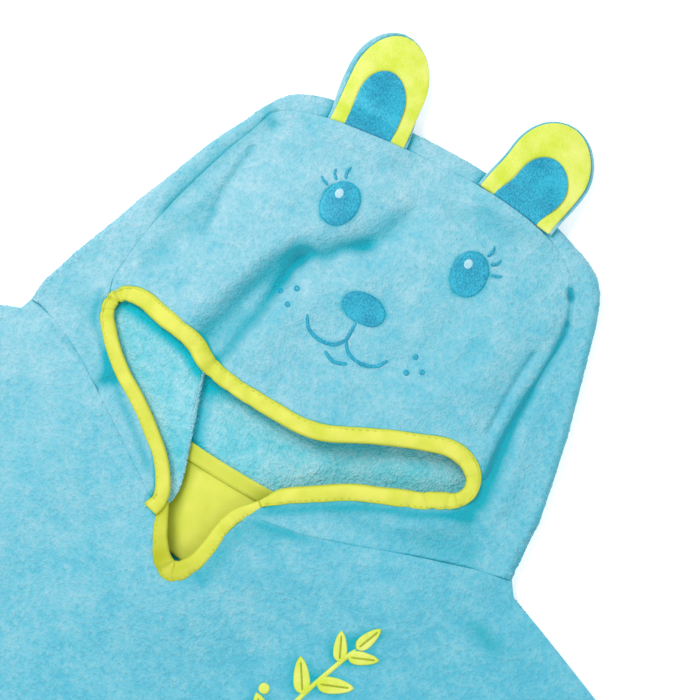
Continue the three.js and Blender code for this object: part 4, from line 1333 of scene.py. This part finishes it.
class PONCHO_OT_stitching(bpy.types.Operator):
    """Rows of stitches along the bindings, the tape and the seams of the hem"""

    bl_idname = "poncho.stitching"
    bl_label = "Stitching"

    def execute(self, context):
        rows = []
        for path, side, middle_at in ((OPENING_SHOWN, 1, opening_middle), (V_SHOWN, -1, v_middle)):
            places = []
            count = int(path_length(path) / STITCH_PITCH)
            for i in range(count + 1):
                t = i / count
                middle_x, middle_y, width = curve_point(path, t)
                x, y = beside(path, t, side * (width / 2 - SEAM_INSET))
                z = middle_at(middle_x, middle_y) + BINDING_THICKNESS / 2 * STITCH_LEVEL
                places.append((x, y, z))
            rows.append(stitch_row(places, 1.9, 0.5))
        tape = []
        for i in range(60):
            x = mix(-44, 44, i / 59)
            tape.append((x, back_neck_y(x) - TAPE_WIDTH / 2 + 1.2, TERRY + 2 * JERSEY + 2 * GAP + 0.05))
        rows.append(stitch_row(tape, 1.1, 0.4))
        finish_piece(merged(rows), "binding_stitches", "lime_thread")

        hem = []
        side, top, bottom = BODY_HALF_WIDTH - HEM_INSET, SHOULDER_TIP_Y - 12, HEM_Y + HEM_INSET
        corners = [(-side, top), (-side, bottom), (side, bottom), (side, top)]
        for a, b in zip(corners, corners[1:]):
            count = int(math.hypot(b[0] - a[0], b[1] - a[1]) / HEM_PITCH)
            places = []
            for i in range(count + 1):
                x, y = mix_points(a, b, i / count)
                places.append((x, y, body_lift(x, y) + TERRY - 0.25))
            hem.append(stitch_row(places, 2.6, 0.7))
        finish_piece(merged(hem), "hem_stitches", "aqua_thread")
        return {"FINISHED"}


def eyelash(x, y, sign, step):
    """One of the lashes over an eye, as points of x, y and width; a higher step lies further out."""
    angle = math.pi / 2 - sign * (0.35 + 0.42 * step)
    c, s = math.cos(angle), math.sin(angle)
    return [
        (x + 12.5 * c, y + 15.5 * s, 1.8),
        (x + 17 * c, y + 19.5 * s, 1.8),
        (x + 20 * c - 2 * s * sign, y + 24 * s, 1),
    ]


class PONCHO_OT_embroidery(bpy.types.Operator):
    """A plain animal face on the hood and a leafy sprig on the chest, both in filling stitch"""

    bl_idname = "poncho.embroidery"
    bl_label = "Embroidery"

    def execute(self, context):
        def face_top(x, y):
            return panel_lift(x, y) + TERRY

        def chest_top(x, y):
            return body_lift(x, y) + TERRY

        fills, lines, glints = [], [], []
        for x, y, sign in EYES:
            fills.append(thread_patch(oval(x, y, 11.5, 14.5, 0.1 * sign), 26, face_top, 0.9))
            glints.append(thread_patch(oval(x - 3.4, y + 5, 3.1, 3.6, 0), 10, face_top, 1.25))
            for step in (0, 1, 2):
                lines.append(thread_line(eyelash(x, y, sign, step), face_top))
        fills.append(thread_patch(NOSE, 26, face_top, 0.9))
        for points in FACE_LINES:
            lines.append(thread_line([(x, y, 2.2) for x, y in points], face_top))
        for x, y in FRECKLES:
            fills.append(thread_patch(oval(x, y, 1.9, 1.9, 0), 8, face_top, 0.8))
        finish_piece(merged(fills), "face_fills", "teal")
        finish_piece(merged(lines), "face_lines", "teal")
        finish_piece(merged(glints), "eye_glints", "pale_thread")

        ribs = []
        leaves = [thread_line([(x, y, 3.0) for x, y in SPRIG_STEM], chest_top)]
        for share, turn, length in SPRIG_LEAVES:
            x, y = curve_point(SPRIG_STEM, share)
            run = curve_run(SPRIG_STEM, share)
            angle = math.atan2(run[1], run[0]) + turn
            leaves.append(thread_patch(leaf(x, y, angle, length), 16, chest_top, 0.9))
            c, s = math.cos(angle), math.sin(angle)
            rib = [(x + c * length * k, y + s * length * k, 1.1) for k in (0.12, 0.5, 0.85)]
            ribs.append(thread_line(rib, lambda a, b: chest_top(a, b) + 0.75))
        for x, y in SPRIG_BERRIES:
            leaves.append(thread_patch(oval(x, y, 3.6, 3.6, 0), 12, chest_top, 1.0))
        finish_piece(merged(leaves), "sprig_fills", "satin")
        finish_piece(merged(ribs), "sprig_ribs", "olive_thread")
        return {"FINISHED"}


class PONCHO_OT_pile(bpy.types.Operator):
    """Loops of pile that stand out along folds and edges"""

    bl_idname = "poncho.pile"
    bl_label = "Loops along the edges"

    def execute(self, context):
        chance = random.Random(11)
        hood, tucked = [], []
        for _ in range(HOOD_LOOPS):
            s = chance.uniform(0.0, 1.0)
            t = mix(BELOW_END, ARC_END, chance.uniform(0.35, 1.0))
            hood.append((hood_point(s, t, True), chance.uniform(0.2, 0.5)))
        for _ in range(TUCK_LOOPS):
            u, v = 1 - chance.uniform(0, 0.12) ** 1.3, chance.uniform(0.02, 0.9)
            x, y = tuck_plan(u, v)
            place = (x + chance.uniform(-0.2, 0.5), y, tuck_top(u, x, y) + 0.1)
            tucked.append((place, chance.uniform(0.35, 0.7)))
        finish_piece(loops_at(hood, chance), "hood_loops", "hood")
        finish_piece(loops_at(tucked, chance), "tuck_loops", "edge")
        body = []
        side, corner = BODY_HALF_WIDTH, 20
        borders = [
            (shoulder_point("left", 1), shoulder_point("left", 0)),
            (shoulder_point("right", 0), shoulder_point("right", 1)),
            ((-side, HEM_Y + corner), (-side, SHOULDER_TIP_Y)),
            ((side, HEM_Y + corner), (side, SHOULDER_TIP_Y)),
            ((-side + corner, HEM_Y), (side - corner, HEM_Y)),
        ]
        for a, b in borders:
            for _ in range(int(math.hypot(b[0] - a[0], b[1] - a[1]) * 1.1)):
                x, y = mix_points(a, b, chance.random())
                x += chance.uniform(-0.5, 0.5)
                y += chance.uniform(-0.5, 0.5)
                body.append(((x, y, chance.uniform(1.0, 5.8)), chance.uniform(0.25, 0.6)))
        finish_piece(loops_at(body, chance), "body_loops", "body")
        return {"FINISHED"}


def pieces_tree():
    corners, faces = [], []
    for piece in PIECES:
        start = len(corners)
        corners += [vert.co.copy() for vert in piece.data.vertices]
        faces += [[start + i for i in face.vertices] for face in piece.data.polygons]
    return BVHTree.FromPolygons(corners, faces)


def sky_rays():
    """Directions from which light comes, each with its share of the light."""
    rays = []
    for rise, count in SKY_RAYS:
        level, weight = math.cos(rise), math.sin(rise)
        for i in range(count):
            turn = 2 * math.pi * (i + rise) / count
            rays.append((Vector((math.cos(turn) * level, math.sin(turn) * level, weight)), weight))
    total = sum(weight for _, weight in rays)
    return [(ray, weight / total) for ray, weight in rays]


def shut_off(tree, start, rays):
    """Share of the light that other cloth nearby keeps from a place."""
    hidden = 0.0
    for ray, weight in rays:
        distance = tree.ray_cast(start, ray, HIDDEN_REACH)[3]
        if distance is not None:
            hidden += weight * (1 - distance / HIDDEN_REACH)
    return hidden


def evened(mesh, shares):
    """The shares, each averaged twice with those of the neighbouring vertices."""
    ends = numpy.zeros(len(mesh.edges) * 2, dtype=numpy.int32)
    mesh.edges.foreach_get("vertices", ends)
    a, b = ends[0::2], ends[1::2]
    for _ in range(2):
        total, count = shares.copy(), numpy.ones_like(shares)
        for here, near in ((a, b), (b, a)):
            numpy.add.at(total, here, shares[near])
            numpy.add.at(count, here, 1)
        shares = total / count
    return shares


class PONCHO_OT_painted_shade(bpy.types.Operator):
    """Notes on every piece how far each place is hidden from the light among folds, which darkens its colour
    as painted shade
    """

    bl_idname = "poncho.depth"
    # This step paints shade into the colours of folds and hollows.
    bl_label = "Painted shade in the folds"

    def execute(self, context):
        tree, rays, away = pieces_tree(), sky_rays(), Vector(AWAY)
        for piece in PIECES:
            if piece.name.endswith("_loops"):
                continue
            mesh = piece.data
            shades = with_reach(SHADES.get(piece.name, []))
            shares = numpy.zeros(len(mesh.vertices), dtype=numpy.float32)
            for i, vert in enumerate(mesh.vertices):
                normal = vert.normal
                if normal.z < 0.05:
                    continue
                start = vert.co + normal * 0.0004 + Vector((0, 0, 0.0003))
                x, y = vert.co.x / MM, vert.co.y / MM
                # Painted shade: cloth nearby that keeps off the light, the shade lines and, on the creased
                # pieces, crease troughs and slopes turned from the key light.
                share = shut_off(tree, start, rays) + fold_lift(shades, x, y)
                if piece.name in CREASED:
                    share += TROUGH_SHARE * max(0.0, -fold_lift(HOOD_CREASES, x, y))
                    share += AWAY_SHARE * max(0.0, normal.dot(away) - 0.06)
                shares[i] = share
            layer = mesh.attributes.new("painted_shade", "FLOAT", "POINT")
            layer.data.foreach_set("value", evened(mesh, shares))
        return {"FINISHED"}


class PONCHO_PT_panel(bpy.types.Panel):
    bl_idname = "PONCHO_PT_panel"
    bl_label = "Bath poncho"
    bl_space_type = "VIEW_3D"
    bl_region_type = "UI"
    bl_category = "Poncho"

    def draw(self, context):
        column = self.layout.column()
        for group in (context.scene.poncho_cloth, context.scene.poncho_stage):
            for name in group.__annotations__:
                column.prop(group, name)
        for operator in OPERATORS:
            column.operator(operator.bl_idname)


OPERATORS = (
    PONCHO_OT_stage, PONCHO_OT_body, PONCHO_OT_hood, PONCHO_OT_ears, PONCHO_OT_bindings,
    PONCHO_OT_stitching, PONCHO_OT_embroidery, PONCHO_OT_pile, PONCHO_OT_painted_shade,
)
CLASSES = (PonchoCloth, PonchoStage, *OPERATORS, PONCHO_PT_panel)


def register():
    for cls in CLASSES:
        bpy.utils.register_class(cls)
    bpy.types.Scene.poncho_cloth = bpy.props.PointerProperty(type=PonchoCloth)
    bpy.types.Scene.poncho_stage = bpy.props.PointerProperty(type=PonchoStage)


def unregister():
    del bpy.types.Scene.poncho_stage
    del bpy.types.Scene.poncho_cloth
    for cls in reversed(CLASSES):
        bpy.utils.unregister_class(cls)


def main():
    register()
    bpy.ops.poncho.stage()
    bpy.ops.poncho.body()
    bpy.ops.poncho.hood()
    bpy.ops.poncho.ears()
    bpy.ops.poncho.bindings()
    bpy.ops.poncho.stitching()
    bpy.ops.poncho.embroidery()
    bpy.ops.poncho.pile()
    bpy.ops.poncho.depth()


if __name__ == "__main__":
    main()
